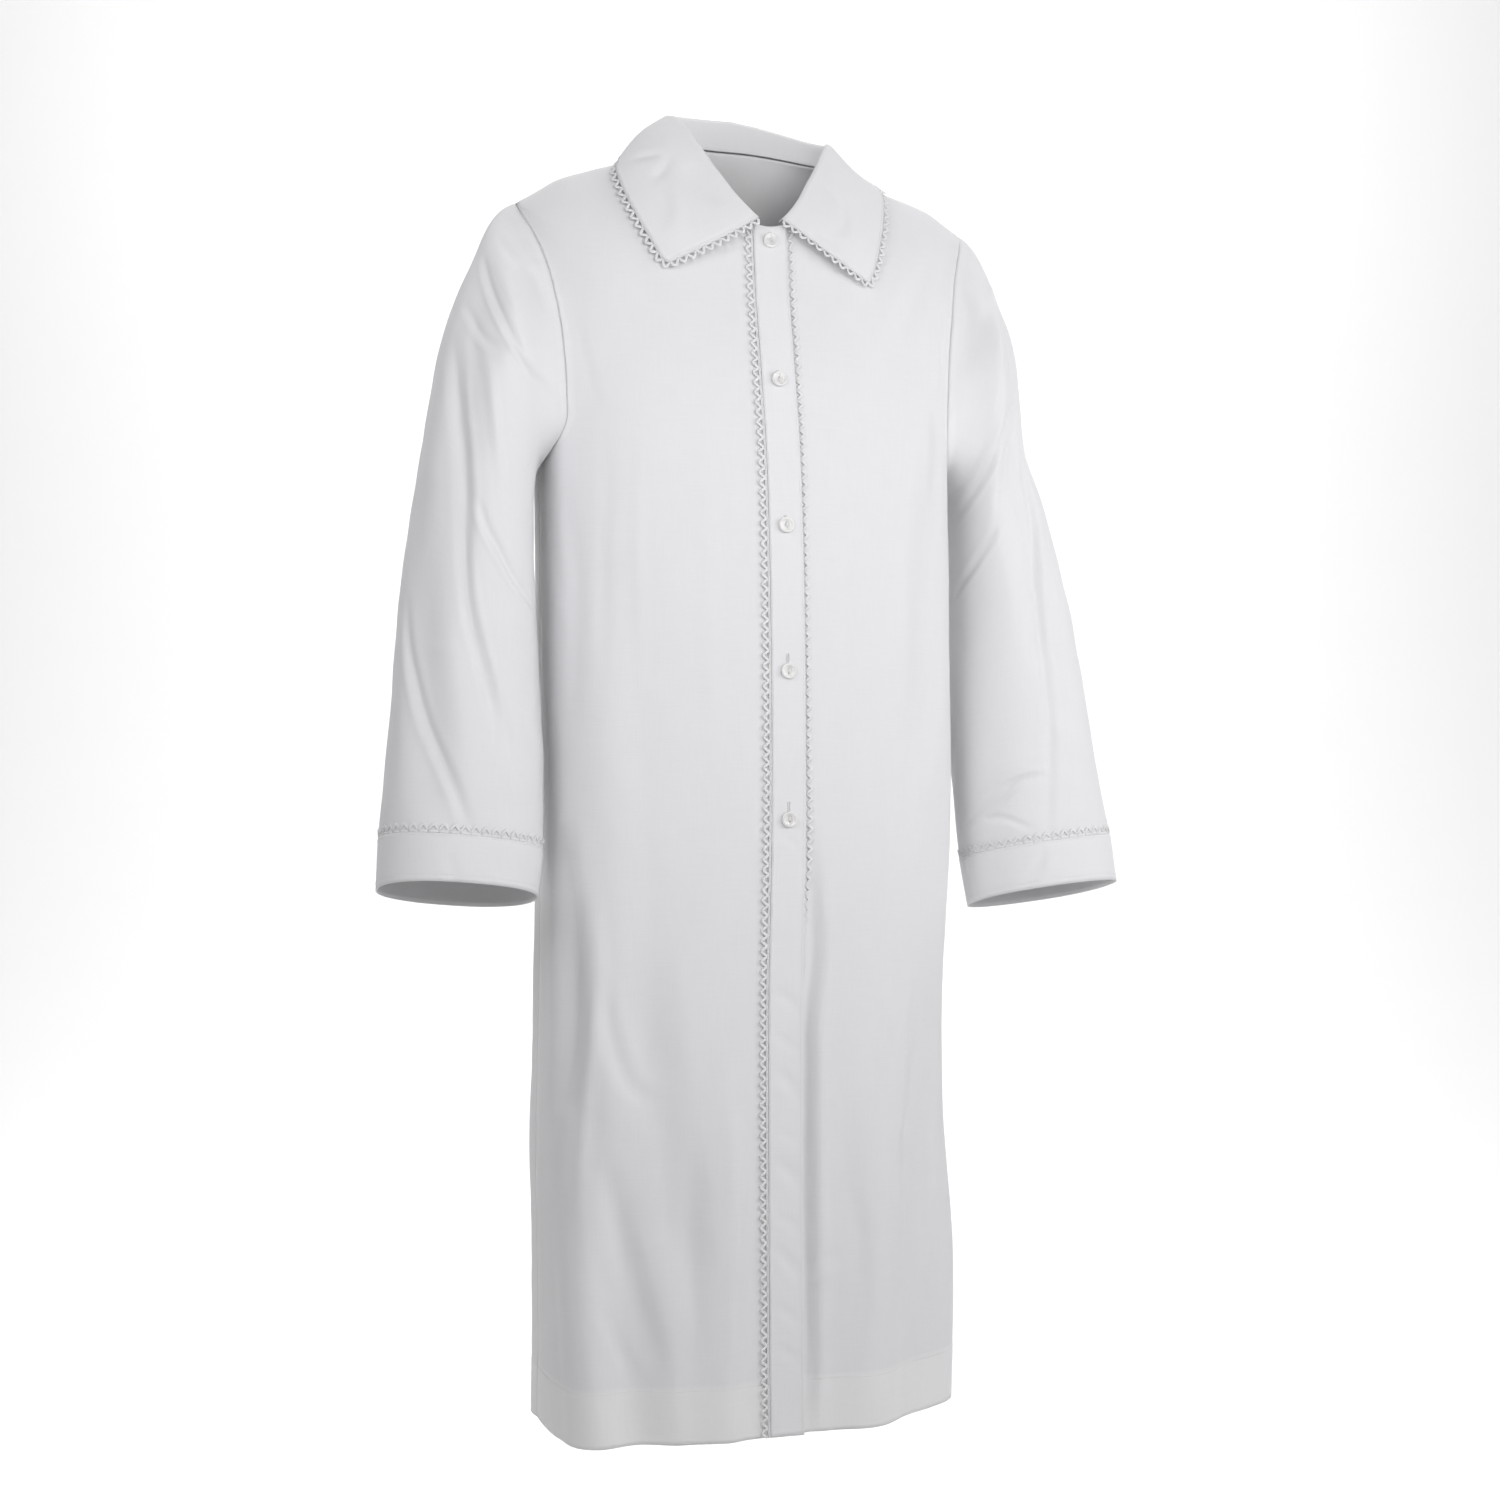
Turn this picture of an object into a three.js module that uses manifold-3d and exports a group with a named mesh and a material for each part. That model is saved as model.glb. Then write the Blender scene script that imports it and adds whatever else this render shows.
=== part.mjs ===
// A kittel: a long white robe for prayer, buttoned down the front, with a lie-down collar and lace edgings.
// It keeps the hollow form it has when worn. Every piece of cloth is a thin wall on one body form.
//
// Millimetres, +Z up. The front faces -Y and +X is the wearer's left. The origin lies in the middle of the
// neck, level with the right shoulder seam's neck end, and heights are given as a drop below it.

import * as THREE from "three";
import { mergeVertices } from "three/addons/utils/BufferGeometryUtils.js";
import Module from "manifold-3d";

const wasm = await Module();
wasm.setup();

// ---------------------------------------------------------------- driving dimensions

const LENGTH = 1204; // neck point of the shoulder to the hem at the centre front
const HEM_DEPTH = 50;
const HEM_LIFT = { left: 24, right: 6, back: -4 }; // how much higher the hem hangs there
const CLOTH = 1.4; // wall of single cloth
const DOUBLED = 2.2; // wall where the cloth lies double
const SEAM = 0.3; // gap between pieces that are sewn together
const NECK = { half: 75, front: 51, back: 50, frontDrop: 80, backRise: 10, leftLow: 10 };
const SHOULDER_DROP = 68; // of the shoulder seam's outer end
const UNDERARM_DROP = 303;
const BAND = { half: 16.2, seamRise: 0.4, below: 1.5 }; // below: its top under the neck seam
const FREE_EDGE = { rise: 1.9, sink: 2.2 }; // how far the outer band's lifts and the under band's drops back
const LACE = { width: 11, wall: 1, collarWidth: 8.5 };
const BUTTON = { across: 15, thick: 3, hole: 1.8, holeGap: 3.4, lift: 0.4, drops: [95, 229, 365, 500, 637] };

// The body's level sections, top to bottom. centre: where the middle of the front hangs. right and left: from
// there to each side. front and back: where it crosses the centre plane. mid: where it is widest.
const BODY = [
  { drop: 68, centre: 0, right: 227, left: 227, front: -47, back: 66, mid: 17 },
  { drop: 110, centre: -3, right: 218, left: 222, front: -57, back: 84, mid: 16 },
  { drop: 165, centre: -3, right: 211, left: 213, front: -70, back: 99, mid: 15 },
  { drop: 229, centre: -3, right: 206, left: 205, front: -83, back: 111, mid: 14 },
  { drop: 303, centre: -1, right: 204, left: 198, front: -91, back: 119, mid: 14 },
  { drop: 440, centre: 1, right: 205, left: 197, front: -96, back: 122, mid: 14 },
  { drop: 640, centre: 1, right: 205, left: 199, front: -99, back: 124, mid: 14 },
  { drop: 800, centre: -2, right: 203, left: 196, front: -99, back: 128, mid: 14 },
  { drop: 930, centre: -3, right: 205, left: 198, front: -101, back: 131, mid: 15 },
  { drop: 1080, centre: -3, right: 203, left: 203, front: -103, back: 134, mid: 15 },
  { drop: 1204, centre: -3, right: 203, left: 202, front: -105, back: 136, mid: 16 },
];

// How square the sections are at the front's two corners and at the back. 2 is an ellipse.
const CORNERS = [
  { drop: 68, right: 2.2, left: 2.2, rear: 2.2 },
  { drop: 165, right: 3.0, left: 3.0, rear: 2.4 },
  { drop: 303, right: 3.4, left: 3.2, rear: 2.6 },
  { drop: 640, right: 3.6, left: 3.0, rear: 2.6 },
  { drop: 930, right: 3.9, left: 2.6, rear: 2.6 },
  { drop: 1204, right: 4.2, left: 2.4, rear: 2.6 },
];

// The left front slips under the button band: how far across, and how far behind it lies.
const SLIP = [
  { drop: 80, across: 0, under: 0 },
  { drop: 190, across: 5, under: 0 },
  { drop: 560, across: 6, under: 0 },
  { drop: 650, across: 3, under: 0 },
  { drop: 690, across: 2, under: 0 },
  { drop: 767, across: 2, under: 3.4 },
  { drop: 844, across: 12, under: 3.4 },
  { drop: 1204, across: 12, under: 3.4 },
];

// The armhole as seen from the side: where its front and back edges lie at each drop.
const ARMHOLE = [
  { drop: 68, front: 17, back: 17 },
  { drop: 76, front: 11, back: 31 },
  { drop: 98, front: -5, back: 47 },
  { drop: 127, front: -20, back: 62 },
  { drop: 165, front: -33, back: 75 },
  { drop: 206, front: -42, back: 83 },
  { drop: 245, front: -46, back: 87 },
  { drop: 276, front: -44, back: 80 },
  { drop: 296, front: -22, back: 54 },
  { drop: 303, front: 14, back: 14 },
];

// The largest folds of the body. from and to: distance round the cloth from the centre line, where the fold
// starts and where it ends. half: half its width. out: how far it stands out, negative for a hollow.
const RIGHT_FRONT_FOLDS = [
  { top: 700, low: 1100, from: 150, to: 100, half: 46, out: -9 },
  { top: 860, low: 1300, from: 168, to: 128, half: 40, out: -12 },
  { top: 800, low: 1300, from: 45, to: 60, half: 40, out: 7 },
  { top: 960, low: 1300, from: 205, to: 178, half: 38, out: 9 },
  { top: 330, low: 900, from: 190, to: 160, half: 44, out: 6 },
];
const LEFT_FRONT_FOLDS = [
  { top: 120, low: 420, from: 150, to: 80, half: 50, out: -6 },
  { top: 250, low: 620, from: 175, to: 150, half: 40, out: -7 },
  { top: 690, low: 1300, from: 185, to: 150, half: 42, out: -8 },
  { top: 800, low: 1300, from: 120, to: 95, half: 44, out: 9 },
  { top: 900, low: 1300, from: 225, to: 215, half: 34, out: 8 },
];
const BACK_RIGHT_FOLDS = [
  { top: 260, low: 1300, from: 95, to: 118, half: 56, out: 9 },
  { top: 420, low: 1300, from: 30, to: 42, half: 46, out: -11 },
  { top: 520, low: 1300, from: 175, to: 190, half: 46, out: -10 },
];
const BACK_LEFT_FOLDS = [
  { top: 300, low: 1300, from: 80, to: 98, half: 52, out: 8 },
  { top: 640, low: 1300, from: 150, to: 165, half: 48, out: -12 },
  { top: 760, low: 1300, from: 235, to: 222, half: 40, out: 8 },
];

// A sleeve's rings from the armhole to the wrist, on the wearer's left. out and outDrop: the line over the
// arm. under and underDrop: the line beneath it. mid and deep: the ring's middle and half depth from front to
// back. lean: how much lower its back edge hangs.
const SLEEVE = [
  { out: 249, outDrop: 75, under: 210, underDrop: 309, mid: 14, deep: 76, lean: 0 },
  { out: 262, outDrop: 98, under: 214, underDrop: 319, mid: 14, deep: 79, lean: 0 },
  { out: 281, outDrop: 143, under: 217, underDrop: 337, mid: 13, deep: 80, lean: 0 },
  { out: 297, outDrop: 196, under: 218, underDrop: 361, mid: 11, deep: 79, lean: 0 },
  { out: 309, outDrop: 256, under: 218, underDrop: 393, mid: 8, deep: 76, lean: 0 },
  { out: 322, outDrop: 326, under: 217, underDrop: 432, mid: 3, deep: 73, lean: 0 },
  { out: 335, outDrop: 400, under: 215, underDrop: 478, mid: -3, deep: 69, lean: 0 },
  { out: 344, outDrop: 470, under: 214, underDrop: 525, mid: -9, deep: 66, lean: 1 },
  { out: 351, outDrop: 540, under: 213, underDrop: 573, mid: -16, deep: 64, lean: 3 },
  { out: 359, outDrop: 606, under: 214, underDrop: 622, mid: -23, deep: 62, lean: 6 },
  { out: 364, outDrop: 651, under: 216, underDrop: 667, mid: -28, deep: 61, lean: 10 },
];
const CUFF_END = { out: 367, outDrop: 697, under: 222, underDrop: 711, mid: -32, deep: 58, lean: 13 };
const SLEEVE_SQUARE = 2.3;

// The left sleeve hangs lower than the right at a ring, its outer line nearer to the body, and further back.
const LEFT_ARM = [
  { ring: 1, longer: 0, nearer: 4, back: 0 },
  { ring: 3, longer: 1, nearer: 13, back: 6 },
  { ring: 5, longer: 2, nearer: 26, back: 15 },
  { ring: 6, longer: 3, nearer: 14, back: 14 },
  { ring: 8, longer: 5, nearer: 4, back: 8 },
  { ring: 10, longer: 8, nearer: 2, back: 3 },
  { ring: 12, longer: 11, nearer: -2, back: 0 },
];

// The largest folds of each sleeve. turn: where round the ring, in degrees from the outer line to the front,
// at the fold's first and last ring. half: half its width in degrees. out: as on the body.
const RIGHT_SLEEVE_FOLDS = [
  { first: 2, last: 8, from: 42, to: 58, half: 34, out: -7 },
  { first: 1, last: 6, from: 12, to: 20, half: 30, out: 4 },
  { first: 6, last: 11, from: 20, to: 66, half: 30, out: -7 },
  { first: 2, last: 9, from: 215, to: 250, half: 36, out: -6 },
];
const LEFT_SLEEVE_FOLDS = [
  { first: 1, last: 5, from: 30, to: 95, half: 34, out: -7 },
  { first: 3, last: 9, from: 95, to: 70, half: 32, out: -6 },
  { first: 2, last: 9, from: 240, to: 280, half: 36, out: -6 },
];

// The collar, from its front end round to the centre back. turn: degrees round the neck from the front.
// stand: height of its fold above the neck seam. lower: how much less that is on the left. along and down:
// where the fall's edge lies on the yoke, as shares of the way to the shoulder and from the neck seam to the
// shoulder's outer end. bow and leftBow: how far the fall bulges between its fold and its edge.
const COLLAR = [
  { turn: 9, stand: 4, lower: 0, along: 0.42, down: 0.88, bow: 5, leftBow: 5 },
  { turn: 22, stand: 15, lower: 0, along: 0.55, down: 0.77, bow: 5, leftBow: 4 },
  { turn: 38, stand: 25, lower: 0, along: 0.66, down: 0.63, bow: 4, leftBow: 2 },
  { turn: 60, stand: 30, lower: 1, along: 0.83, down: 0.45, bow: 5, leftBow: -1 },
  { turn: 90, stand: 32, lower: 6, along: 1, down: 0.35, bow: 5, leftBow: -3 },
  { turn: 125, stand: 34, lower: 6, along: 1.45, down: 0.38, bow: 4, leftBow: 0 },
  { turn: 180, stand: 36, lower: 0, along: 2, down: 0.44, bow: 2, leftBow: 2 },
];
const COLLAR_STATIONS = 14; // on each side of the centre back
const COLLAR_CLEAR = 4.2; // how far the fall's edge lies off the shoulders
const COLLAR_WALL = 1.8;
const COLLAR_SAG = 5; // how far the leaves' front edges curve down
const LEFT_LEAF = { along: -0.05, down: 0.03 }; // the left leaf spreads less and hangs lower
const FOLD_RADIUS = 7;

// Rows run from the neck down: over the yoke, beside the armhole, then to the hem.
const YOKE_ROWS = 3;
const ARMHOLE_ROWS = 9;
const SKIRT_ROWS = 11;
const FRONT_COLUMNS = 10;
const BACK_COLUMNS = 20;
const YOKE_END = YOKE_ROWS;
const UNDERARM = YOKE_END + ARMHOLE_ROWS;
const HEM_TOP = UNDERARM + SKIRT_ROWS;
const LAST_ROW = HEM_TOP + 1;
const YOKE_FRONT_DROP = 150; // where the yoke ends at the centre front
const YOKE_BACK_DROP = 92;
const STEPS = 60; // straight steps round a quarter section, to measure along it

const COLOURS = { cloth: 0xf1f0f2, doubled: 0xf7f6f7, lace: 0xf6f5f5, button: 0xe6e5e2 };

// ---------------------------------------------------------------- small tools

const { lerp, clamp, smoothstep, degToRad, radToDeg, euclideanModulo } = THREE.MathUtils;
const point = (x, y, z) => new THREE.Vector3(x, y, z);
const moved = (p, direction, distance) => p.clone().addScaledVector(direction, distance);
const towards = (from, to, distance) => moved(from, to.clone().sub(from).normalize(), distance);

// A column of a table whose rows are sorted by the column `by`, read smoothly between the rows.
function read(table, by, at, column) {
  const last = table.length - 1;
  let i = 0;
  while (i < last - 1 && at > table[i + 1][by]) i++;
  const [a, b] = [table[i], table[i + 1]];
  const before = table[Math.max(i - 1, 0)];
  const after = table[Math.min(i + 2, last)];
  const span = b[by] - a[by];
  const slopeIn = ((b[column] - before[column]) / (b[by] - before[by])) * span;
  const slopeOut = ((after[column] - a[column]) / (after[by] - a[by])) * span;
  const t = clamp((at - a[by]) / span, 0, 1);
  const [t2, t3] = [t * t, t * t * t];
  const ends = (2 * t3 - 3 * t2 + 1) * a[column] + (3 * t2 - 2 * t3) * b[column];
  return ends + (t3 - 2 * t2 + t) * slopeIn + (t3 - t2) * slopeOut;
}

// Normals of a grid of points. facing is 1 or -1 and turns them to the cloth's outer face. joins(row, step)
// gives the neighbour's point beyond an edge column, where a seam joins another piece.
function normalsOf(grid, facing, { closed = false, joins = () => null } = {}) {
  const lastRow = grid.length - 1;
  return grid.map((row, r) =>
    row.map((p, c) => {
      const at = (step) => {
        if (closed) return row[(c + step + row.length) % row.length];
        return row[c + step] ?? joins(r, step) ?? p;
      };
      const across = at(1).clone().sub(at(-1));
      const down = grid[Math.min(r + 1, lastRow)][c].clone().sub(grid[Math.max(r - 1, 0)][c]);
      return across.cross(down).multiplyScalar(facing).normalize();
    }),
  );
}

function closedGeometry(vertices, faces) {
  let volume = 0;
  for (const [a, b, c] of faces) {
    volume += vertices[a].dot(vertices[b].clone().cross(vertices[c]));
  }
  const wound = volume < 0 ? faces.map(([a, b, c]) => [a, c, b]) : faces;
  const geometry = new THREE.BufferGeometry();
  const numbers = vertices.flatMap((v) => v.toArray());
  geometry.setAttribute("position", new THREE.Float32BufferAttribute(numbers, 3));
  geometry.setIndex(wound.flat());
  return geometry;
}

// A wall of cloth: the grid is its outer face and its thickness lies behind it.
function wall(grid, normals, thickness, closed = false) {
  const [rows, columns] = [grid.length, grid[0].length];
  const deep = typeof thickness === "function" ? thickness : () => thickness;
  const inner = grid.map((row, r) => row.map((p, c) => moved(p, normals[r][c], -deep(r, c))));
  const vertices = [...grid.flat(), ...inner.flat()];
  const at = (layer, r, c) => layer * rows * columns + r * columns + (c % columns);
  const faces = [];
  const quad = (a, b, c, d) => faces.push([a, b, c], [a, c, d]);
  const spans = closed ? columns : columns - 1;
  for (let c = 0; c < spans; c++) {
    for (let r = 0; r < rows - 1; r++) {
      quad(at(0, r, c), at(0, r, c + 1), at(0, r + 1, c + 1), at(0, r + 1, c));
      quad(at(1, r, c), at(1, r + 1, c), at(1, r + 1, c + 1), at(1, r, c + 1));
    }
    quad(at(1, 0, c), at(1, 0, c + 1), at(0, 0, c + 1), at(0, 0, c));
    quad(at(0, rows - 1, c), at(0, rows - 1, c + 1), at(1, rows - 1, c + 1), at(1, rows - 1, c));
  }
  for (let r = 0; r < rows - 1 && !closed; r++) {
    quad(at(0, r, 0), at(0, r + 1, 0), at(1, r + 1, 0), at(1, r, 0));
    const edge = columns - 1;
    quad(at(1, r, edge), at(1, r + 1, edge), at(0, r + 1, edge), at(0, r, edge));
  }
  return closedGeometry(vertices, faces);
}

// A strip of trim that lies on two or more columns of a panel's grid, moved out from it.
function trimOn(grid, normals, rise, thickness) {
  const outer = grid.map((row, r) => row.map((p, c) => moved(p, normals[r][c], rise + thickness)));
  return wall(outer, normals, thickness);
}

// ---------------------------------------------------------------- the body form

// A point of the level section at a drop, by its direction from the centre front, + to the wearer's left.
function section(drop, turn) {
  const angle = degToRad(turn);
  const [across, ahead] = [Math.sin(angle), Math.cos(angle)];
  const facing = ahead >= 0 ? "front" : "back";
  const side = turn > 0 ? "left" : "right";
  const power = read(CORNERS, "drop", drop, ahead < 0 ? "rear" : side);
  const size = (Math.abs(across) ** power + Math.abs(ahead) ** power) ** (-1 / power);
  const mid = read(BODY, "drop", drop, "mid");
  const reach = read(BODY, "drop", drop, facing) - mid;
  const x = read(BODY, "drop", drop, "centre") + read(BODY, "drop", drop, side) * size * across;
  return point(x, mid + reach * size * Math.abs(ahead), -drop);
}

// How far round a section turns, from the centre front or back, before it passes a given depth y.
function turnAtDepth(drop, y, facing, corner) {
  const mid = read(BODY, "drop", drop, "mid");
  const ahead = clamp((y - mid) / (read(BODY, "drop", drop, facing) - mid), 0, 1);
  const power = read(CORNERS, "drop", drop, corner);
  return radToDeg(Math.atan2((1 - ahead ** power) ** (1 / power), ahead));
}

// The neck seam at a turn from the centre front, 180 at the centre back.
function neckPoint(turn) {
  const [across, ahead] = [Math.sin(degToRad(turn)), Math.cos(degToRad(turn))];
  const low = NECK.leftLow * Math.max(across, 0) ** 2;
  if (ahead > 0) return point(NECK.half * across, -NECK.front * ahead, -NECK.frontDrop * ahead ** 2.3 - low);
  return point(NECK.half * across, -NECK.back * ahead, NECK.backRise * Math.abs(ahead) ** 0.8 - low);
}

// How far the folds push the cloth out at a distance round it from the centre line.
function foldPush(folds, distance, drop) {
  let push = 0;
  for (const { top, low, from, to, half, out } of folds) {
    const share = (drop - top) / (low - top);
    if (share <= 0 || share >= 1) continue;
    const away = (distance - lerp(from, to, share)) / half;
    if (Math.abs(away) >= 1) continue;
    const ends = smoothstep(share, 0, 0.4) * (1 - smoothstep(share, 0.75, 1));
    push += out * ends * Math.cos((away * Math.PI) / 2) ** 2;
  }
  return push;
}

// A quarter of the body, from its centre line to its side or armhole. side is 1 on the wearer's left.
function quarter(side, facing) {
  const isFront = facing === "front";
  const half = side > 0 ? "left" : "right";
  const corner = isFront ? half : "rear";
  const frontFolds = side > 0 ? LEFT_FRONT_FOLDS : RIGHT_FRONT_FOLDS;
  const backFolds = side > 0 ? BACK_LEFT_FOLDS : BACK_RIGHT_FOLDS;
  const folds = isFront ? frontFolds : backFolds;
  const centreDrop = isFront ? YOKE_FRONT_DROP : YOKE_BACK_DROP;
  const lift = side > 0 ? HEM_LIFT.left : HEM_LIFT.right;

  // The drop of a row at its centre, at its outer end, and at a share of the way between them.
  function dropOf(row, share) {
    if (row <= UNDERARM) {
      const down = (row - YOKE_END) / ARMHOLE_ROWS;
      const round = (1 - Math.cos(Math.PI * down)) / 2; // closer rows where the armhole turns
      const centre = lerp(centreDrop, UNDERARM_DROP, down);
      return lerp(centre, lerp(SHOULDER_DROP, UNDERARM_DROP, round), share ** 1.6);
    }
    const centreLift = isFront ? 0 : HEM_LIFT.back;
    const hem = LENGTH - lerp(centreLift, lift, share ** (isFront ? 6 : 2));
    const down = Math.min((row - UNDERARM) / SKIRT_ROWS, 1);
    return row === LAST_ROW ? hem : lerp(UNDERARM_DROP, hem - HEM_DEPTH, down);
  }

  function turnEnd(row) {
    if (row >= UNDERARM || row <= YOKE_END) return 90;
    const drop = dropOf(row, 1);
    return turnAtDepth(drop, read(ARMHOLE, "drop", drop, facing), facing, corner);
  }

  // The edge beside the band: the left front's edge slips under the band.
  function turnStart(drop) {
    if (!isFront) return 0;
    const edge = BAND.half - (side > 0 ? read(SLIP, "drop", drop, "across") : 0);
    return radToDeg(Math.atan2(edge / read(BODY, "drop", drop, half), 1));
  }

  const onSection = (drop, turn) => section(drop, side * (isFront ? turn : 180 - turn));

  // The share of a row's length at a column: on a front, the first column is as wide as the lace.
  function shareOf(column, length) {
    if (!isFront) return column / (BACK_COLUMNS / 2);
    if (column === 0) return 0;
    const trim = LACE.width / length;
    return trim + ((1 - trim) * (column - 1)) / (FRONT_COLUMNS - 1);
  }

  // Columns keep their place round the body, and close up towards the armhole's edge.
  function bodyPoint(row, column) {
    const roughShare = column / (isFront ? FRONT_COLUMNS : BACK_COLUMNS / 2);
    const drop = dropOf(row, roughShare);
    const start = turnStart(drop);
    const line = Array.from({ length: STEPS + 1 }, (_, i) => onSection(drop, lerp(start, 90, i / STEPS)));
    const lengths = [0];
    for (let i = 1; i <= STEPS; i++) lengths.push(lengths[i - 1] + line[i].distanceTo(line[i - 1]));
    const full = lengths[STEPS];
    const atEdge = ((turnEnd(row) - start) / (90 - start)) * STEPS;
    const lost = full - lerp(lengths[Math.floor(atEdge)], lengths[Math.ceil(atEdge)], atEdge % 1);
    const share = shareOf(column, full);
    const distance = full * share - lost * share ** 2.5;
    const i = clamp(lengths.findLastIndex((length) => length < distance) + 1, 1, STEPS);
    const p = line[i - 1].clone().lerp(line[i], (distance - lengths[i - 1]) / (lengths[i] - lengths[i - 1]));
    const tangent = line[i].clone().sub(line[i - 1]).normalize();
    const outward = point(tangent.y, -tangent.x, 0).multiplyScalar(isFront ? side : -side);
    let push = foldPush(folds, distance + (isFront ? BAND.half : 0), drop);
    if (isFront) push *= smoothstep(distance, LACE.width, 4 * LACE.width);
    if (isFront && side > 0) {
      push -= read(SLIP, "drop", drop, "under") * (1 - smoothstep(distance, 20, 80));
    }
    return moved(p, outward, push);
  }

  function yokePoint(row, column) {
    const end = bodyPoint(YOKE_END, column);
    const edge = radToDeg(Math.asin(BAND.half / NECK.half));
    const share = shareOf(column, isFront ? 190 : 1);
    const turn = isFront ? lerp(edge, 90, share) : lerp(180, 90, share);
    return neckPoint(side * turn).lerp(end, row / YOKE_ROWS);
  }

  return (row, column) => (row < YOKE_END ? yokePoint(row, column) : bodyPoint(row, column));
}

const quarters = {
  left: { front: quarter(1, "front"), back: quarter(1, "back") },
  right: { front: quarter(-1, "front"), back: quarter(-1, "back") },
};

function gridOf(rows, columns, place) {
  return Array.from({ length: rows }, (_, r) => Array.from({ length: columns }, (_, c) => place(r, c)));
}

// Fronts run from the band to the side, and the back from the wearer's left side to the right.
const halfBack = BACK_COLUMNS / 2;
const backPlace = (r, c) => {
  const side = c <= halfBack ? "left" : "right";
  return quarters[side].back(r, Math.abs(halfBack - c));
};
const grids = {
  left: gridOf(LAST_ROW + 1, FRONT_COLUMNS + 1, quarters.left.front),
  right: gridOf(LAST_ROW + 1, FRONT_COLUMNS + 1, quarters.right.front),
  back: gridOf(LAST_ROW + 1, BACK_COLUMNS + 1, backPlace),
};

// The shoulder and side seams join the fronts to the back, and the armhole parts them.
const isJoined = (row) => row <= YOKE_END || row >= UNDERARM;

const normals = {
  left: normalsOf(grids.left, -1, {
    joins: (r, step) => (step > 0 && isJoined(r) ? grids.back[r][1] : null),
  }),
  right: normalsOf(grids.right, 1, {
    joins: (r, step) => (step > 0 && isJoined(r) ? grids.back[r][BACK_COLUMNS - 1] : null),
  }),
  back: normalsOf(grids.back, -1, {
    joins: (r, step) => (isJoined(r) ? grids[step > 0 ? "right" : "left"][r][FRONT_COLUMNS - 1] : null),
  }),
};

// The grid with half the seam's gap taken off its joined edge columns.
function trimmed(grid, edges) {
  return grid.map((row, r) =>
    row.map((p, c) => {
      if (!isJoined(r) || !edges.includes(c)) return p;
      const inside = row[c === 0 ? 1 : c - 1];
      return moved(p, inside.clone().sub(p).normalize(), SEAM / 2);
    }),
  );
}

// The hem is turned up inside, so the wall is double there.
const hemmed = (row) => (row >= HEM_TOP ? DOUBLED : CLOTH);

const panels = {
  front_left: wall(trimmed(grids.left, [FRONT_COLUMNS]), normals.left, hemmed),
  front_right: wall(trimmed(grids.right, [FRONT_COLUMNS]), normals.right, hemmed),
  back: wall(trimmed(grids.back, [0, BACK_COLUMNS]), normals.back, hemmed),
};

// ---------------------------------------------------------------- sleeves and cuffs

const LOOP = 2 * ARMHOLE_ROWS; // points round the armhole, and so round every ring of the sleeve

function sleeveOf(side) {
  const name = side > 0 ? "left" : "right";
  const folds = side > 0 ? LEFT_SLEEVE_FOLDS : RIGHT_SLEEVE_FOLDS;
  const backEdge = side > 0 ? 0 : BACK_COLUMNS;

  // The armhole from the shoulder down its front edge, then up its back edge.
  function loopPoint(source, i) {
    const row = YOKE_END + (i <= ARMHOLE_ROWS ? i : LOOP - i);
    return i <= ARMHOLE_ROWS ? source[name][row][FRONT_COLUMNS] : source.back[row][backEdge];
  }

  function ring(row, index) {
    const own = (column) => (side > 0 ? read(LEFT_ARM, "ring", index, column) : 0);
    const middle = row.mid + own("back");
    const over = point(side * (row.out - own("nearer")), middle, -row.outDrop - own("longer"));
    const under = point(side * row.under, middle, -row.underDrop - own("longer"));
    const centre = over.clone().add(under).multiplyScalar(0.5);
    const toOver = over.clone().sub(centre);
    return Array.from({ length: LOOP }, (_, i) => {
      const turn = (360 * i) / LOOP;
      const [ahead, out] = [Math.sin(degToRad(turn)), Math.cos(degToRad(turn))];
      const reach = Math.abs(ahead) ** SLEEVE_SQUARE + Math.abs(out) ** SLEEVE_SQUARE;
      let push = 0;
      for (const fold of folds) {
        const at = (index - fold.first) / (fold.last - fold.first);
        if (at <= 0 || at >= 1) continue;
        const away = euclideanModulo(turn - lerp(fold.from, fold.to, at) + 180, 360) - 180;
        const near = Math.abs(away) < fold.half ? Math.cos((away / fold.half) * (Math.PI / 2)) ** 2 : 0;
        push += fold.out * near * Math.sin(Math.PI * at) ** 0.7;
      }
      const size = reach ** (-1 / SLEEVE_SQUARE) * (1 + push / row.deep);
      const p = moved(centre, toOver, size * out);
      p.y -= row.deep * size * ahead;
      p.z += row.lean * size * ahead;
      return p;
    });
  }

  const rings = SLEEVE.map((row, i) => ring(row, i + 1));
  const [above, end] = rings.slice(-2);
  rings.splice(-1, 0, end.map((p, i) => towards(p, above[i], LACE.width))); // the lace's upper edge
  const armhole = Array.from({ length: LOOP }, (_, i) => loopPoint(grids, i));
  const facing = side > 0 ? 1 : -1;
  const outward = normalsOf([armhole, ...rings], facing, { closed: true });
  // At the armhole the sleeve's edge follows the panel's edge, except under the arm, where they turn apart.
  outward[0] = outward[0].map((normal, i) => {
    const panel = loopPoint(normals, i);
    return normal.dot(panel) > 0.2 ? normal.clone().add(panel).normalize() : normal;
  });
  const first = armhole.map((p, i) => moved(p, rings[0][i].clone().sub(p).normalize(), SEAM));
  const cuffEnd = ring(CUFF_END, SLEEVE.length + 1);
  return { grid: [first, ...rings], outward, cuffEnd, facing };
}

const sleeves = { right: sleeveOf(-1), left: sleeveOf(1) };

function cuffOf({ grid, cuffEnd, facing }) {
  const top = grid.at(-1).map((p, i) => towards(p, cuffEnd[i], SEAM));
  const cuff = [top, cuffEnd];
  return wall(cuff, normalsOf(cuff, facing, { closed: true }), DOUBLED, true);
}

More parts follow.
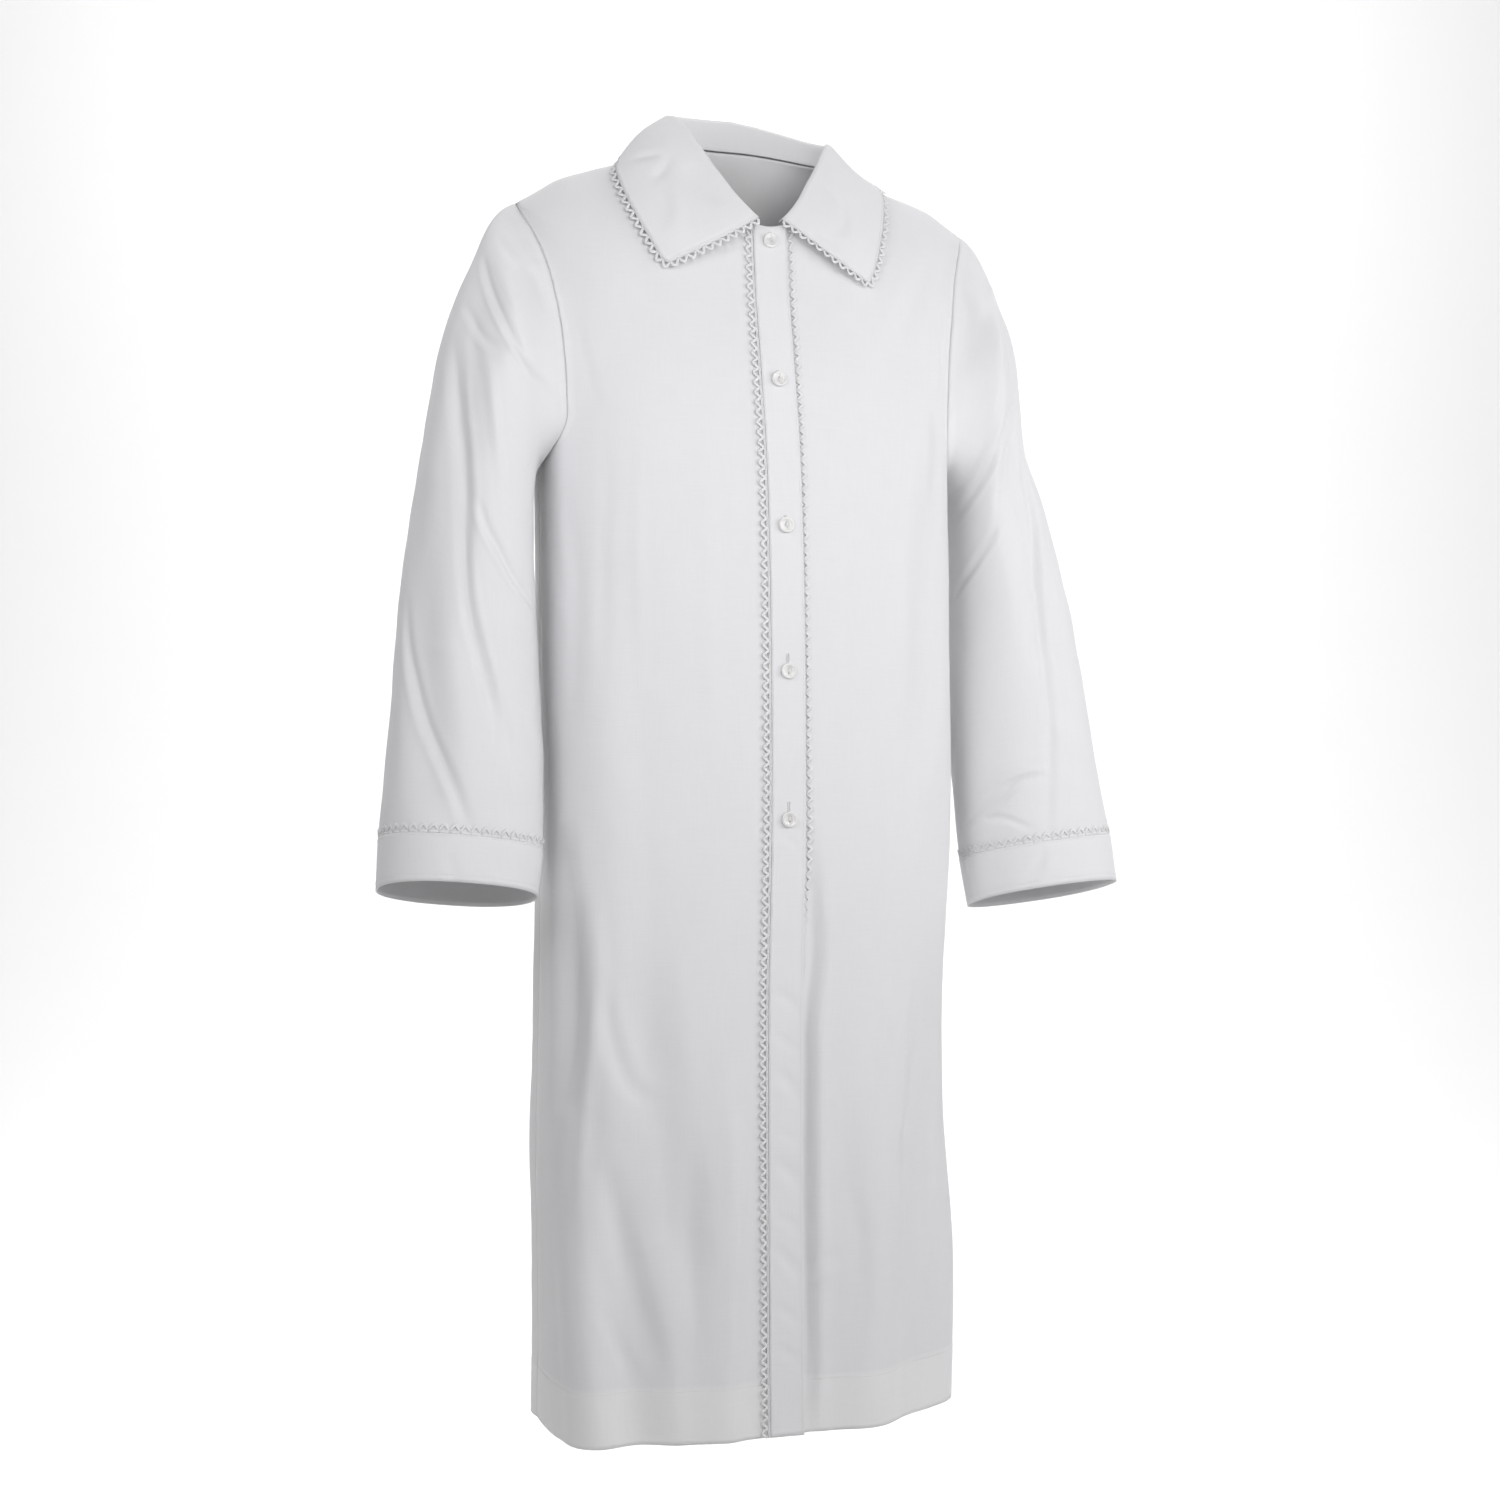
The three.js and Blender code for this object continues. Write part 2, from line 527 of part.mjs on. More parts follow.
// The lace lies on the sleeve just above the cuff.
function cuffLaceOf({ grid, outward }) {
  const [strip, facing] = [grid.slice(-2), outward.slice(-2)];
  const outer = strip.map((row, r) => row.map((p, i) => moved(p, facing[r][i], 2 * SEAM + LACE.wall)));
  return wall(outer, facing, LACE.wall, true);
}

// ---------------------------------------------------------------- bands, lace and buttons down the front

// The front's surface between the two band seams, on the rows of the fronts, at a distance from the right
// seam. Its top follows the neck, just below the collar.
function betweenFronts(distance, row) {
  const p = grids.right[row][0].clone().add(point(distance, 0, 0));
  return row > 0 ? p : neckPoint(radToDeg(Math.asin(p.x / NECK.half))).sub(point(0, 0, BAND.below));
}

// The under band is sewn to the left front, and its free edge lies behind the right front.
function underBand() {
  const distances = [2 * BAND.half - 2 * SEAM, BAND.half, SEAM];
  const grid = gridOf(LAST_ROW + 1, distances.length, (r, c) => {
    const p = betweenFronts(distances[c], r);
    const drop = -p.z;
    const sink = (FREE_EDGE.sink * c) / (distances.length - 1);
    return p.add(point(-read(SLIP, "drop", drop, "across"), read(SLIP, "drop", drop, "under") + sink, 0));
  });
  return wall(grid, normalsOf(grid, 1), DOUBLED);
}

// The outer band rises from its seam to its free edge, over the lace of the other front.
function overBandGrid() {
  const distances = [SEAM, 0.67 * BAND.half, 1.33 * BAND.half, 2 * BAND.half + 0.5];
  const grid = gridOf(LAST_ROW + 1, distances.length, (r, c) => betweenFronts(distances[c], r));
  const outward = normalsOf(grid, -1);
  const rise = (c) => BAND.seamRise + (FREE_EDGE.rise * c) / (distances.length - 1) + DOUBLED;
  return { outer: grid.map((row, r) => row.map((p, c) => moved(p, outward[r][c], rise(c)))), outward };
}

const overBand = overBandGrid();

const firstTwo = (grid) => grid.map((row) => row.slice(0, 2));
const frontLace = (side) => trimOn(firstTwo(grids[side]), firstTwo(normals[side]), SEAM, LACE.wall);

// A geometry as a manifold-3d solid, and back.
function solidOf(geometry) {
  const plain = geometry.clone();
  plain.deleteAttribute("normal");
  plain.deleteAttribute("uv");
  const merged = mergeVertices(plain, 1e-4);
  return new wasm.Manifold(
    new wasm.Mesh({
      numProp: 3,
      vertProperties: merged.attributes.position.array,
      triVerts: new Uint32Array(merged.index.array),
    }),
  );
}

function geometryOf(solid) {
  const mesh = solid.getMesh();
  const geometry = new THREE.BufferGeometry();
  geometry.setAttribute("position", new THREE.Float32BufferAttribute(mesh.vertProperties, 3));
  geometry.setIndex([...mesh.triVerts]);
  return geometry;
}

// A two-hole shirt button with a rounded rim and a dished middle. Its back lies on y = 0 and faces +Y.
function buttonGeometry() {
  const radius = BUTTON.across / 2;
  const profile = [
    [0, 0],
    [radius - 1, 0],
    [radius, 1.1],
    [radius - 0.4, 2.4],
    [radius - 1.6, BUTTON.thick],
    [radius - 2.8, 2.2],
    [0, 1.7],
  ].map(([r, h]) => new THREE.Vector2(r, h));
  let body = solidOf(new THREE.LatheGeometry(profile, 20));
  for (const side of [-1, 1]) {
    const drill = new THREE.CylinderGeometry(BUTTON.hole / 2, BUTTON.hole / 2, 3 * BUTTON.thick, 8);
    drill.translate(0, 0, (side * BUTTON.holeGap) / 2);
    body = body.subtract(solidOf(drill));
  }
  return geometryOf(body).rotateX(Math.PI);
}

// A button stands on the middle of the outer band, square to it.
function placeButton(mesh, drop) {
  const row = overBand.outer.findIndex(([p]) => -p.z > drop);
  const middle = (r) => overBand.outer[r][1].clone().lerp(overBand.outer[r][2], 0.5);
  const [above, below] = [middle(row - 1), middle(row)];
  const across = overBand.outer[row][2].clone().sub(overBand.outer[row][1]);
  const outward = across.cross(below.clone().sub(above)).multiplyScalar(-1).normalize();
  mesh.quaternion.setFromUnitVectors(point(0, -1, 0), outward);
  mesh.position.copy(above.lerp(below, (-drop - above.z) / (below.z - above.z)));
  mesh.position.addScaledVector(outward, BUTTON.lift);
}

// ---------------------------------------------------------------- collar

// A point on the yoke, by its share of the way round from the centre front (0) over the shoulder (1) to the
// centre back (2), and from the neck seam to the yoke's end.
function onYoke(side, along, down) {
  const facing = along <= 1 ? "front" : "back";
  const columns = along <= 1 ? FRONT_COLUMNS : BACK_COLUMNS / 2;
  const at = (along <= 1 ? along : 2 - along) * columns;
  const column = Math.min(Math.floor(at), columns - 1);
  const place = quarters[side > 0 ? "left" : "right"][facing];
  const neck = place(0, column).lerp(place(0, column + 1), at - column);
  const end = place(YOKE_END, column).lerp(place(YOKE_END, column + 1), at - column);
  return neck.lerp(end, down);
}

// One station: the stand rises inside the neck seam, folds over and falls to its edge on the shoulders.
function collarStation(side, turn) {
  const neck = neckPoint(side * turn);
  const stand = read(COLLAR, "turn", turn, "stand") - (side > 0 ? read(COLLAR, "turn", turn, "lower") : 0);
  const bow = read(COLLAR, "turn", turn, side > 0 ? "leftBow" : "bow");
  const inward = point(-neck.x, -neck.y, 0).normalize();
  const frontEnd = 1 - smoothstep(turn, COLLAR[0].turn, 40);
  const base = moved(neck, inward, 2 * SEAM).add(point(0, 0, 1 + frontEnd));
  const fold = point(neck.x * 1.04, neck.y + stand / 4 - 8 * frontEnd, neck.z + stand);
  const ownShare = side > 0 ? 1 - smoothstep(turn, 60, 130) : 0;
  const down = read(COLLAR, "turn", turn, "down") + ownShare * LEFT_LEAF.down;
  const along = read(COLLAR, "turn", turn, "along") + ownShare * LEFT_LEAF.along;
  const onCloth = onYoke(side, clamp(along, 0, 2), down);
  const off = onYoke(side, clamp(along, 0, 2), down + 0.05).sub(onCloth);
  const frontwards = onYoke(side, clamp(along - 0.02, 0, 2), down);
  const backwards = onYoke(side, clamp(along + 0.02, 0, 2), down);
  const outward = off.clone().cross(frontwards.sub(backwards)).multiplyScalar(-side).normalize();
  const edge = moved(onCloth, outward, COLLAR_CLEAR);
  const fallLine = off.normalize();
  const radius = Math.min(FOLD_RADIUS, 0.45 * base.distanceTo(fold));
  const before = towards(fold, base, radius);
  const after = towards(fold, edge, radius);
  const top = fold.clone().multiplyScalar(0.5).addScaledVector(before, 0.25).addScaledVector(after, 0.25);
  const fall = [0.25, 0.5, 0.75].map((share) => {
    const hump = Math.sin(Math.PI * share);
    const p = moved(after.clone().lerp(edge, share), outward, bow * hump);
    return moved(p, fallLine, COLLAR_SAG * frontEnd * hump);
  });
  const beyond = moved(edge, fallLine, LACE.collarWidth);
  return { line: [base, before, top, after, ...fall, edge], beyond };
}

function collarStations() {
  const all = [];
  const first = COLLAR[0].turn;
  for (let i = -COLLAR_STATIONS; i <= COLLAR_STATIONS; i++) {
    const share = Math.abs(i) / COLLAR_STATIONS;
    all.push(collarStation(i < 0 ? -1 : 1, lerp(180, first, share ** 0.9)));
  }
  return all;
}

const stations = collarStations();
const collar = stations.map(({ line }) => line);
const collarNormals = normalsOf(collar, -1);
const collarFace = collar.map((line, s) => line.map((p, i) => moved(p, collarNormals[s][i], COLLAR_WALL)));

// The lace runs down one leaf's front edge, round the fall's edge and up the other leaf's front edge.
function collarLace() {
  const foldColumn = 3;
  const edgeColumn = collar[0].length - 1;
  const last = stations.length - 1;
  const grid = [];
  const facing = [];
  const rise = (COLLAR_WALL + LACE.wall) / 2; // it leaves the middle of the collar's edge
  const add = (p, outer, normal) => {
    grid.push([moved(towards(p, outer, SEAM), normal, rise), moved(outer, normal, rise)]);
    facing.push([normal, normal]);
  };
  function frontEdge(station, inner, columns) {
    for (const c of columns) {
      const [p, normal] = [collar[station][c], collarNormals[station][c]];
      const away = p.clone().sub(collar[inner][c]);
      const flat = away.addScaledVector(normal, -away.dot(normal)).normalize();
      add(p, moved(c < edgeColumn ? p : stations[station].beyond, flat, LACE.collarWidth), normal);
    }
  }
  const columns = Array.from({ length: edgeColumn - foldColumn + 1 }, (_, i) => foldColumn + i);
  frontEdge(0, 1, columns);
  for (let s = 1; s < last; s++) add(collar[s][edgeColumn], stations[s].beyond, collarNormals[s][edgeColumn]);
  frontEdge(last, last - 1, columns.reverse());
  return wall(grid, facing, LACE.wall);
}

// ---------------------------------------------------------------- the kittel

const cloth = new THREE.MeshStandardMaterial({ color: COLOURS.cloth, roughness: 0.9, metalness: 0 });
const doubledCloth = new THREE.MeshStandardMaterial({ color: COLOURS.doubled, roughness: 0.9, metalness: 0 });
const lace = new THREE.MeshStandardMaterial({ color: COLOURS.lace, roughness: 0.85, metalness: 0 });
const resin = new THREE.MeshStandardMaterial({ color: COLOURS.button, roughness: 0.25, metalness: 0 });

const kittel = new THREE.Group();

function add(name, geometry, material) {
  const mesh = new THREE.Mesh(geometry, material);
  mesh.name = name;
  kittel.add(mesh);
  return mesh;
}

for (const [name, geometry] of Object.entries(panels)) add(name, geometry, cloth);
for (const [side, sleeve] of Object.entries(sleeves)) {
  add(`sleeve_${side}`, wall(sleeve.grid, sleeve.outward, CLOTH, true), cloth);
  add(`cuff_${side}`, cuffOf(sleeve), doubledCloth);
  add(`lace_cuff_${side}`, cuffLaceOf(sleeve), lace);
  add(`lace_front_${side}`, frontLace(side), lace);
}
add("placket_left", underBand(), doubledCloth);
add("placket_right", wall(overBand.outer, overBand.outward, DOUBLED), doubledCloth);
add("collar", wall(collarFace, collarNormals, COLLAR_WALL), doubledCloth);
add("lace_collar", collarLace(), lace);
BUTTON.drops.forEach((drop, i) => placeButton(add(`button_${i + 1}`, buttonGeometry(), resin), drop));

export default kittel;
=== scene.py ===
"""A white kittel: a long buttoned robe of fine cotton batiste with a lie-down collar and lace edgings.

Every piece of cloth is a thin shell on the form of its solid. Lengths are millimetres until a mesh is made.
+Z is up, the front faces -Y and +X is the wearer's left. A drop is a depth below the neck.
"""

import math

import bmesh
import bpy
import numpy as np
from mathutils import Matrix


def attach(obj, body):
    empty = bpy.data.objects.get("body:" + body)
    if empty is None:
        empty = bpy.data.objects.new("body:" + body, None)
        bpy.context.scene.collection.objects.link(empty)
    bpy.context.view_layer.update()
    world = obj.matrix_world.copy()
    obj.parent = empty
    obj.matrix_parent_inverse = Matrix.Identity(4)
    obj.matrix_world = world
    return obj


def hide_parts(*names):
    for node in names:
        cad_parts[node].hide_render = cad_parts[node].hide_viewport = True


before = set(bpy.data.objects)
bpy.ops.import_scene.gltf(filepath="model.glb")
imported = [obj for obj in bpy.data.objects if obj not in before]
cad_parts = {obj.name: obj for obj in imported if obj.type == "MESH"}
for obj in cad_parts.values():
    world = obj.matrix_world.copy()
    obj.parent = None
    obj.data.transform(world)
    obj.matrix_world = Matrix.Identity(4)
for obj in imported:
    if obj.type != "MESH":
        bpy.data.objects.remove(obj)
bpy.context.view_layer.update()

# ---------------- camera


CAMERA_TURN = -20  # degrees from straight ahead of the robe, towards the wearer's right


def placed(name, data):
    """A new object in the scene."""
    thing = bpy.data.objects.new(name, data)
    bpy.context.scene.collection.objects.link(thing)
    return thing


def make_camera():
    """The camera stands 2.4 m from the robe, level with its middle."""
    lens = bpy.data.cameras.new("camera")
    lens.lens = 60
    lens.sensor_width = 36
    camera = placed("camera", lens)
    camera.location = (-0.8208, -2.2553, -0.573)
    camera.rotation_euler = (math.radians(90), 0, math.radians(CAMERA_TURN))
    bpy.context.scene.camera = camera
    bpy.context.scene.view_settings.view_transform = "Standard"


make_camera()

# ---------------- sizes of the robe


def table(names, *rows):
    """Rows of sizes under their names. The first column is what the rows are read by."""
    return dict(zip(names.split(), np.array(rows, float).T))


LENGTH = 1204
HEM_DEPTH = 50
HEM_RISE = 0.45  # the doubled hem stands this far out
HEM_LIFT = {1: 24, -1: 6, 0: -4}  # by side: 1 is the wearer's left, -1 the right, 0 the centre back
NECK_HALF, NECK_FRONT, NECK_BACK = 75, 51, 50
NECK_FRONT_DROP, NECK_BACK_RISE, NECK_LEFT_LOW = 80, 10, 10
SHOULDER_DROP = 68
UNDERARM_DROP = 303
BAND_HALF = 16.2
LACE_WIDTH = 11
COLLAR_LACE_UNDER = 1.8  # the lace is sewn this far under the collar's edge
YOKE_DROP = {"front": 150, "back": 92}  # where the yoke ends on the centre line
BUTTON_DROPS = (95, 229, 365, 500, 637)

# The body's level sections: the centre, the half widths, and the front, the back and the middle in depth.
BODY = table(
    "drop centre right left front back mid",
    (68, 0, 227, 227, -47, 66, 17),
    (110, -3, 218, 222, -57, 84, 16),
    (165, -3, 211, 213, -70, 99, 15),
    (229, -3, 206, 205, -83, 111, 14),
    (303, -1, 204, 198, -91, 119, 14),
    (440, 1, 205, 197, -96, 122, 14),
    (640, 1, 205, 199, -99, 124, 14),
    (800, -2, 203, 196, -99, 128, 14),
    (930, -3, 205, 198, -101, 131, 15),
    (1080, -3, 203, 203, -103, 134, 15),
    (1204, -3, 203, 202, -105, 136, 16),
)
# How square each section's corners are: 2 is an ellipse, and a larger power is squarer.
CORNERS = table(
    "drop right left rear",
    (68, 2.2, 2.2, 2.2),
    (165, 3.0, 3.0, 2.4),
    (303, 3.4, 3.2, 2.6),
    (640, 3.6, 3.0, 2.6),
    (930, 3.9, 2.6, 2.6),
    (1204, 4.2, 2.4, 2.6),
)
# How far the left front's edge slips across and back under the button band.
SLIP = table(
    "drop across under",
    (80, 0, 0),
    (190, 5, 0),
    (560, 6, 0),
    (650, 3, 0),
    (690, 2, 0),
    (767, 2, 3.4),
    (844, 12, 3.4),
    (1204, 12, 3.4),
)
# Where the armhole's front edge and back edge lie, in depth.
ARMHOLE = table(
    "drop front back",
    (68, 17, 17),
    (76, 11, 31),
    (98, -5, 47),
    (127, -20, 62),
    (165, -33, 75),
    (206, -42, 83),
    (245, -46, 87),
    (276, -44, 80),
    (296, -22, 54),
    (303, 14, 14),
)

# The largest folds, each as (top, low, from, to, half width, out): its first and last drop, its distance
# round the cloth from the centre line at each, and how far it stands out, negative for a hollow.
LARGE_FOLDS = {
    (-1, "front"): (
        (700, 1100, 150, 100, 46, -9),
        (860, 1300, 168, 128, 40, -12),
        (800, 1300, 45, 60, 40, 7),
        (960, 1300, 205, 178, 38, 9),
        (330, 900, 190, 160, 44, 6),
    ),
    (1, "front"): (
        (120, 420, 150, 80, 50, -6),
        (250, 620, 175, 150, 40, -7),
        (690, 1300, 185, 150, 42, -8),
        (800, 1300, 120, 95, 44, 9),
        (900, 1300, 225, 215, 34, 8),
    ),
    (-1, "back"): (
        (260, 1300, 95, 118, 56, 9),
        (420, 1300, 30, 42, 46, -11),
        (520, 1300, 175, 190, 46, -10),
    ),
    (1, "back"): (
        (300, 1300, 80, 98, 52, 8),
        (640, 1300, 150, 165, 48, -12),
        (760, 1300, 235, 222, 40, 8),
    ),
}

# A sleeve's rings: its outer and its under line, their middle and half depth, and how far its front rises.
SLEEVE = table(
    "ring out out_drop under under_drop mid deep lean",
    (1, 249, 75, 210, 309, 14, 76, 0),
    (2, 262, 98, 214, 319, 14, 79, 0),
    (3, 281, 143, 217, 337, 13, 80, 0),
    (4, 297, 196, 218, 361, 11, 79, 0),
    (5, 309, 256, 218, 393, 8, 76, 0),
    (6, 322, 326, 217, 432, 3, 73, 0),
    (7, 335, 400, 215, 478, -3, 69, 0),
    (8, 344, 470, 214, 525, -9, 66, 1),
    (9, 351, 540, 213, 573, -16, 64, 3),
    (10, 359, 606, 214, 622, -23, 62, 6),
    (11, 364, 651, 216, 667, -28, 61, 10),
    (12, 367, 697, 222, 711, -32, 58, 13),
)
# The shoulder bows up a little before the armhole, and the sleeve's head falls away beyond it.
SHOULDER_BOW = table(
    "across rise",
    (70, 0),
    (115, 3),
    (160, 10),
    (198, 13),
    (220, 9),
    (240, 0),
    (256, -8),
    (278, -9),
    (312, 0),
)
SLEEVE_SQUARE = 2.3
HEAD_START = 2.2  # the ring where the sleeve's head ends
HEAD_NARROWING = 0.34  # the head is narrow at its top, as the armhole is
WRIST = 11  # the ring where the cuff starts
CUFF_END = 12
# How the left sleeve differs: longer, nearer to the body and further back.
LEFT_ARM = table(
    "ring longer nearer back",
    (1, 0, 4, 0),
    (3, 1, 13, 6),
    (5, 2, 26, 15),
    (6, 3, 14, 14),
    (8, 5, 4, 8),
    (10, 8, 2, 3),
    (12, 11, -2, 0),
)
# (first ring, last ring, turn at each, half width in degrees, out)
LARGE_SLEEVE_FOLDS = {
    -1: ((2, 8, 42, 58, 34, -7), (1, 6, 12, 20, 30, 4), (6, 11, 20, 66, 30, -7), (2, 9, 215, 250, 36, -6)),
    1: ((1, 5, 30, 95, 34, -7), (3, 9, 95, 70, 32, -6), (2, 9, 240, 280, 36, -6)),
}

# Round the neck from the centre front: how high the stand is and how much lower on the left, where on the
# yoke the collar's edge lies, and how far the fall bows out.
COLLAR = table(
    "turn stand lower along down left_along left_down bow left_bow",
    (9, 4, 0, 0.38, 0.945, 0.37, 1.005, 5, 5),
    (22, 15, 0, 0.49, 0.78, 0.435, 0.85, 5, 4),
    (38, 25, 0, 0.633, 0.635, 0.556, 0.655, 4, 2),
    (60, 30, 1, 0.83, 0.47, 0.75, 0.467, 5, -1),
    (90, 32, 6, 1, 0.35, 0.97, 0.368, 5, -3),
    (125, 34, 6, 1.45, 0.38, 1.45, 0.38, 4, 0),
    (180, 36, 0, 2, 0.44, 2, 0.44, 2, 2),
)
COLLAR_CLEAR = 4.2  # the collar's edge stands this far off the yoke
COLLAR_SAG = 5  # its leaves sag this much between fold and edge
FOLD_RADIUS = 7
STAND_INSET = 0.6  # the stand starts this far inside the neck seam
FOLD_WIDER = 1.04  # the fold is this much wider than the neck seam
LEAVES_FORWARD = 8  # at the front ends the fold lies this much further forward

# Rows and columns of the cloth, 3 to 5 mm apart.
YOKE_ROWS = 36
ARMHOLE_ROWS = 80
SKIRT_ROWS = 200
PANEL_COLUMNS = 70
ARM_TURNS = 2 * ARMHOLE_ROWS
LENGTH_STEPS = 120  # short steps in which a row is measured
CURVE_STEPS = 16  # between two points of a smooth line

# ---------------- small tools


def lerp(a, b, t):
    return a + (b - a) * t


def smoothstep(x, low, high):
    t = np.clip((x - low) / (high - low), 0, 1)
    return t * t * (3 - 2 * t)


def unit(v):
    return v / np.maximum(np.linalg.norm(v, axis=-1, keepdims=True), 1e-9)


def point(x, y, z):
    return np.stack(np.broadcast_arrays(*(np.asarray(n, float) for n in (x, y, z))), -1)


def taken(values, at):
    """The value at one place of each row."""
    return np.take_along_axis(values, at, -1)[..., 0]


def passage(t, start, end, slope_in, slope_out):
    """A smooth way from start to end with a slope at each, for t from 0 to 1."""
    ends = (2 * t**3 - 3 * t**2 + 1) * start + (3 * t**2 - 2 * t**3) * end
    return ends + (t**3 - 2 * t**2 + t) * slope_in + (t**3 - t**2) * slope_out


def read(sizes, column, at):
    """A column of a table, read smoothly between its rows."""
    knots, values = next(iter(sizes.values())), sizes[column]
    at = np.asarray(at, float)
    last = len(knots) - 1
    i = np.clip(np.searchsorted(knots, at) - 1, 0, last - 1)
    before, after = np.maximum(i - 1, 0), np.minimum(i + 2, last)
    span = knots[i + 1] - knots[i]
    slope_in = (values[i + 1] - values[before]) / (knots[i + 1] - knots[before]) * span
    slope_out = (values[after] - values[i]) / (knots[after] - knots[i]) * span
    t = np.clip((at - knots[i]) / span, 0, 1)
    return passage(t, values[i], values[i + 1], slope_in, slope_out)


def normals_of(grid, facing, closed=False):
    """Normals of a grid of points. facing is 1 or -1 and turns them to the cloth's outer face."""
    if closed:
        across = np.roll(grid, -1, 1) - np.roll(grid, 1, 1)
    else:
        across = np.gradient(grid, axis=1)
    return unit(np.cross(across, np.gradient(grid, axis=0))) * facing


def along_rows(grid):
    """How far each point lies along its row from the row's first point."""
    steps = np.linalg.norm(np.diff(grid, axis=1), axis=-1)
    return np.concatenate([np.zeros((len(grid), 1)), np.cumsum(steps, 1)], 1)


def pick(grid, row, column):
    """The surface of a grid of points at a place between its rows and columns."""
    r = np.clip(np.floor(row).astype(int), 0, grid.shape[0] - 2)
    c = np.clip(np.floor(column).astype(int), 0, grid.shape[1] - 2)
    v, u = (np.asarray(row) - r)[..., None], (np.asarray(column) - c)[..., None]
    top = lerp(grid[r, c], grid[r, c + 1], u)
    return lerp(top, lerp(grid[r + 1, c], grid[r + 1, c + 1], u), v)


def curve_through(points, count):
    """A smooth line through a few points, read at even steps of its length."""
    points = np.asarray(points, float)
    padded = np.concatenate([[2 * points[0] - points[1]], points, [2 * points[-1] - points[-2]]])
    fine = []
    t = np.linspace(0, 1, CURVE_STEPS, endpoint=False)[:, None]
    for a, b, c, d in zip(padded, padded[1:], padded[2:], padded[3:]):
        fine.append(b + 0.5 * t * (c - a + t * (2 * a - 5 * b + 4 * c - d + t * (3 * (b - c) + d - a))))
    fine = np.concatenate(fine + [points[-1:]])
    lengths = np.concatenate([[0], np.cumsum(np.linalg.norm(np.diff(fine, axis=0), axis=1))])
    at = np.linspace(0, lengths[-1], count)
    return np.stack([np.interp(at, lengths, fine[:, k]) for k in range(fine.shape[1])], -1)


def corners_of(grid):
    """The four corners of every face of a grid."""
    return [grid[:-1, :-1], grid[1:, :-1], grid[1:, 1:], grid[:-1, 1:]]


def ring_faces(rings, sides):
    """The faces between rings of points that follow each other."""
    faces = []
    for i in range(rings - 1):
        for k in range(sides):
            n = (k + 1) % sides
            faces.append((i * sides + k, i * sides + n, (i + 1) * sides + n, (i + 1) * sides + k))
    return faces


def waves(u, v, size, seed, stretch=1.0):
    """Gentle unevenness of cloth: nine waves about `size` long, in all directions. Seldom beyond -1 to 1."""
    rng = np.random.default_rng(seed)
    total = np.zeros(np.broadcast(u, v).shape)
    for _ in range(9):
        angle, phase = rng.uniform(0, 2 * np.pi, 2)
        step = 2 * np.pi / (size * rng.uniform(0.7, 1.5))
        total += np.cos(step * (u * np.cos(angle) + v * np.sin(angle) / stretch) + phase)
    return total / 5


# ---------------- creases given one by one


CREASE_POINTS = 14  # of the line along a crease
CREASE_REACH = 2.2  # in half widths: beyond it a crease has no height
SHOULDER_AT, SHOULDER_HEIGHT = 1.15, 0.22  # beside a crease the cloth swings the other way a little


def creased(u, v, creases):
    """The height that the listed creases give at flat places (u, v).

    A crease is ((u, v) points, half width, out, sharp, lean). out is its height, negative for a valley.
    sharp goes from 0, a round one, to 1, a folded edge. lean raises a shoulder on one side of a valley.
    Both are 0 where they are left out.
    """
    height = np.zeros(u.shape)
    for points, half, out, *form in creases:
        sharp, lean = (*form, 0, 0)[:2]
        line = curve_through(points, CREASE_POINTS)
        reach = CREASE_REACH * half
        near = (u > line[:, 0].min() - reach) & (u < line[:, 0].max() + reach)
        near &= (v > line[:, 1].min() - reach) & (v < line[:, 1].max() + reach)
        if not near.any():
            continue
        place = np.stack([u[near], v[near]], -1)
        best = np.full(len(place), np.inf)
        signed = np.zeros(len(place))
        share = np.zeros(len(place))
        for i, (a, b) in enumerate(zip(line, line[1:])):
            way = b - a
            t = np.clip(((place - a) @ way) / (way @ way), 0, 1)
            off = place - a - t[:, None] * way
            distance = np.linalg.norm(off, axis=1)
            closer = distance < best
            best[closer] = distance[closer]
            signed[closer] = (np.sign(way[0] * off[:, 1] - way[1] * off[:, 0]) * distance)[closer]
            share[closer] = ((i + t) / (len(line) - 1))[closer]
        x = signed / half
        round_form = np.exp(-2.6 * x**2)
        edge_form = np.exp(-2.4 * (np.sqrt(x**2 + 0.02) - 0.14))
        crest = lerp(round_form, edge_form, sharp)
        shoulders = np.exp(-5 * (np.abs(x) - SHOULDER_AT) ** 2) * (1 + np.sign(x) * lean)
        ends = np.sin(np.pi * share) ** 0.7
        height[near] += out * ends * (crest - SHOULDER_HEIGHT * shoulders)
    return height


# ---------------- the body's form


def bowed(grid):
    """The cloth with its shoulder line bowed, which fades out down to the upper chest."""
    fading = 1 - smoothstep(-grid[..., 2], 90, 210)
    rise = read(SHOULDER_BOW, "rise", np.abs(grid[..., 0])) * fading
    return grid + rise[..., None] * (0, 0, 1)


def section(drop, turn, side, facing):
    """A point of the level section at a drop. turn: degrees from the centre line to the side."""
    half = "left" if side > 0 else "right"
    across, ahead = np.sin(np.radians(turn)), np.abs(np.cos(np.radians(turn)))
    power = read(CORNERS, half if facing == "front" else "rear", drop)
    size = (across**power + ahead**power) ** (-1 / power)
    mid = read(BODY, "mid", drop)
    reach = read(BODY, facing, drop) - mid
    x = read(BODY, "centre", drop) + side * read(BODY, half, drop) * size * across
    return point(x, mid + reach * size * ahead, -drop)


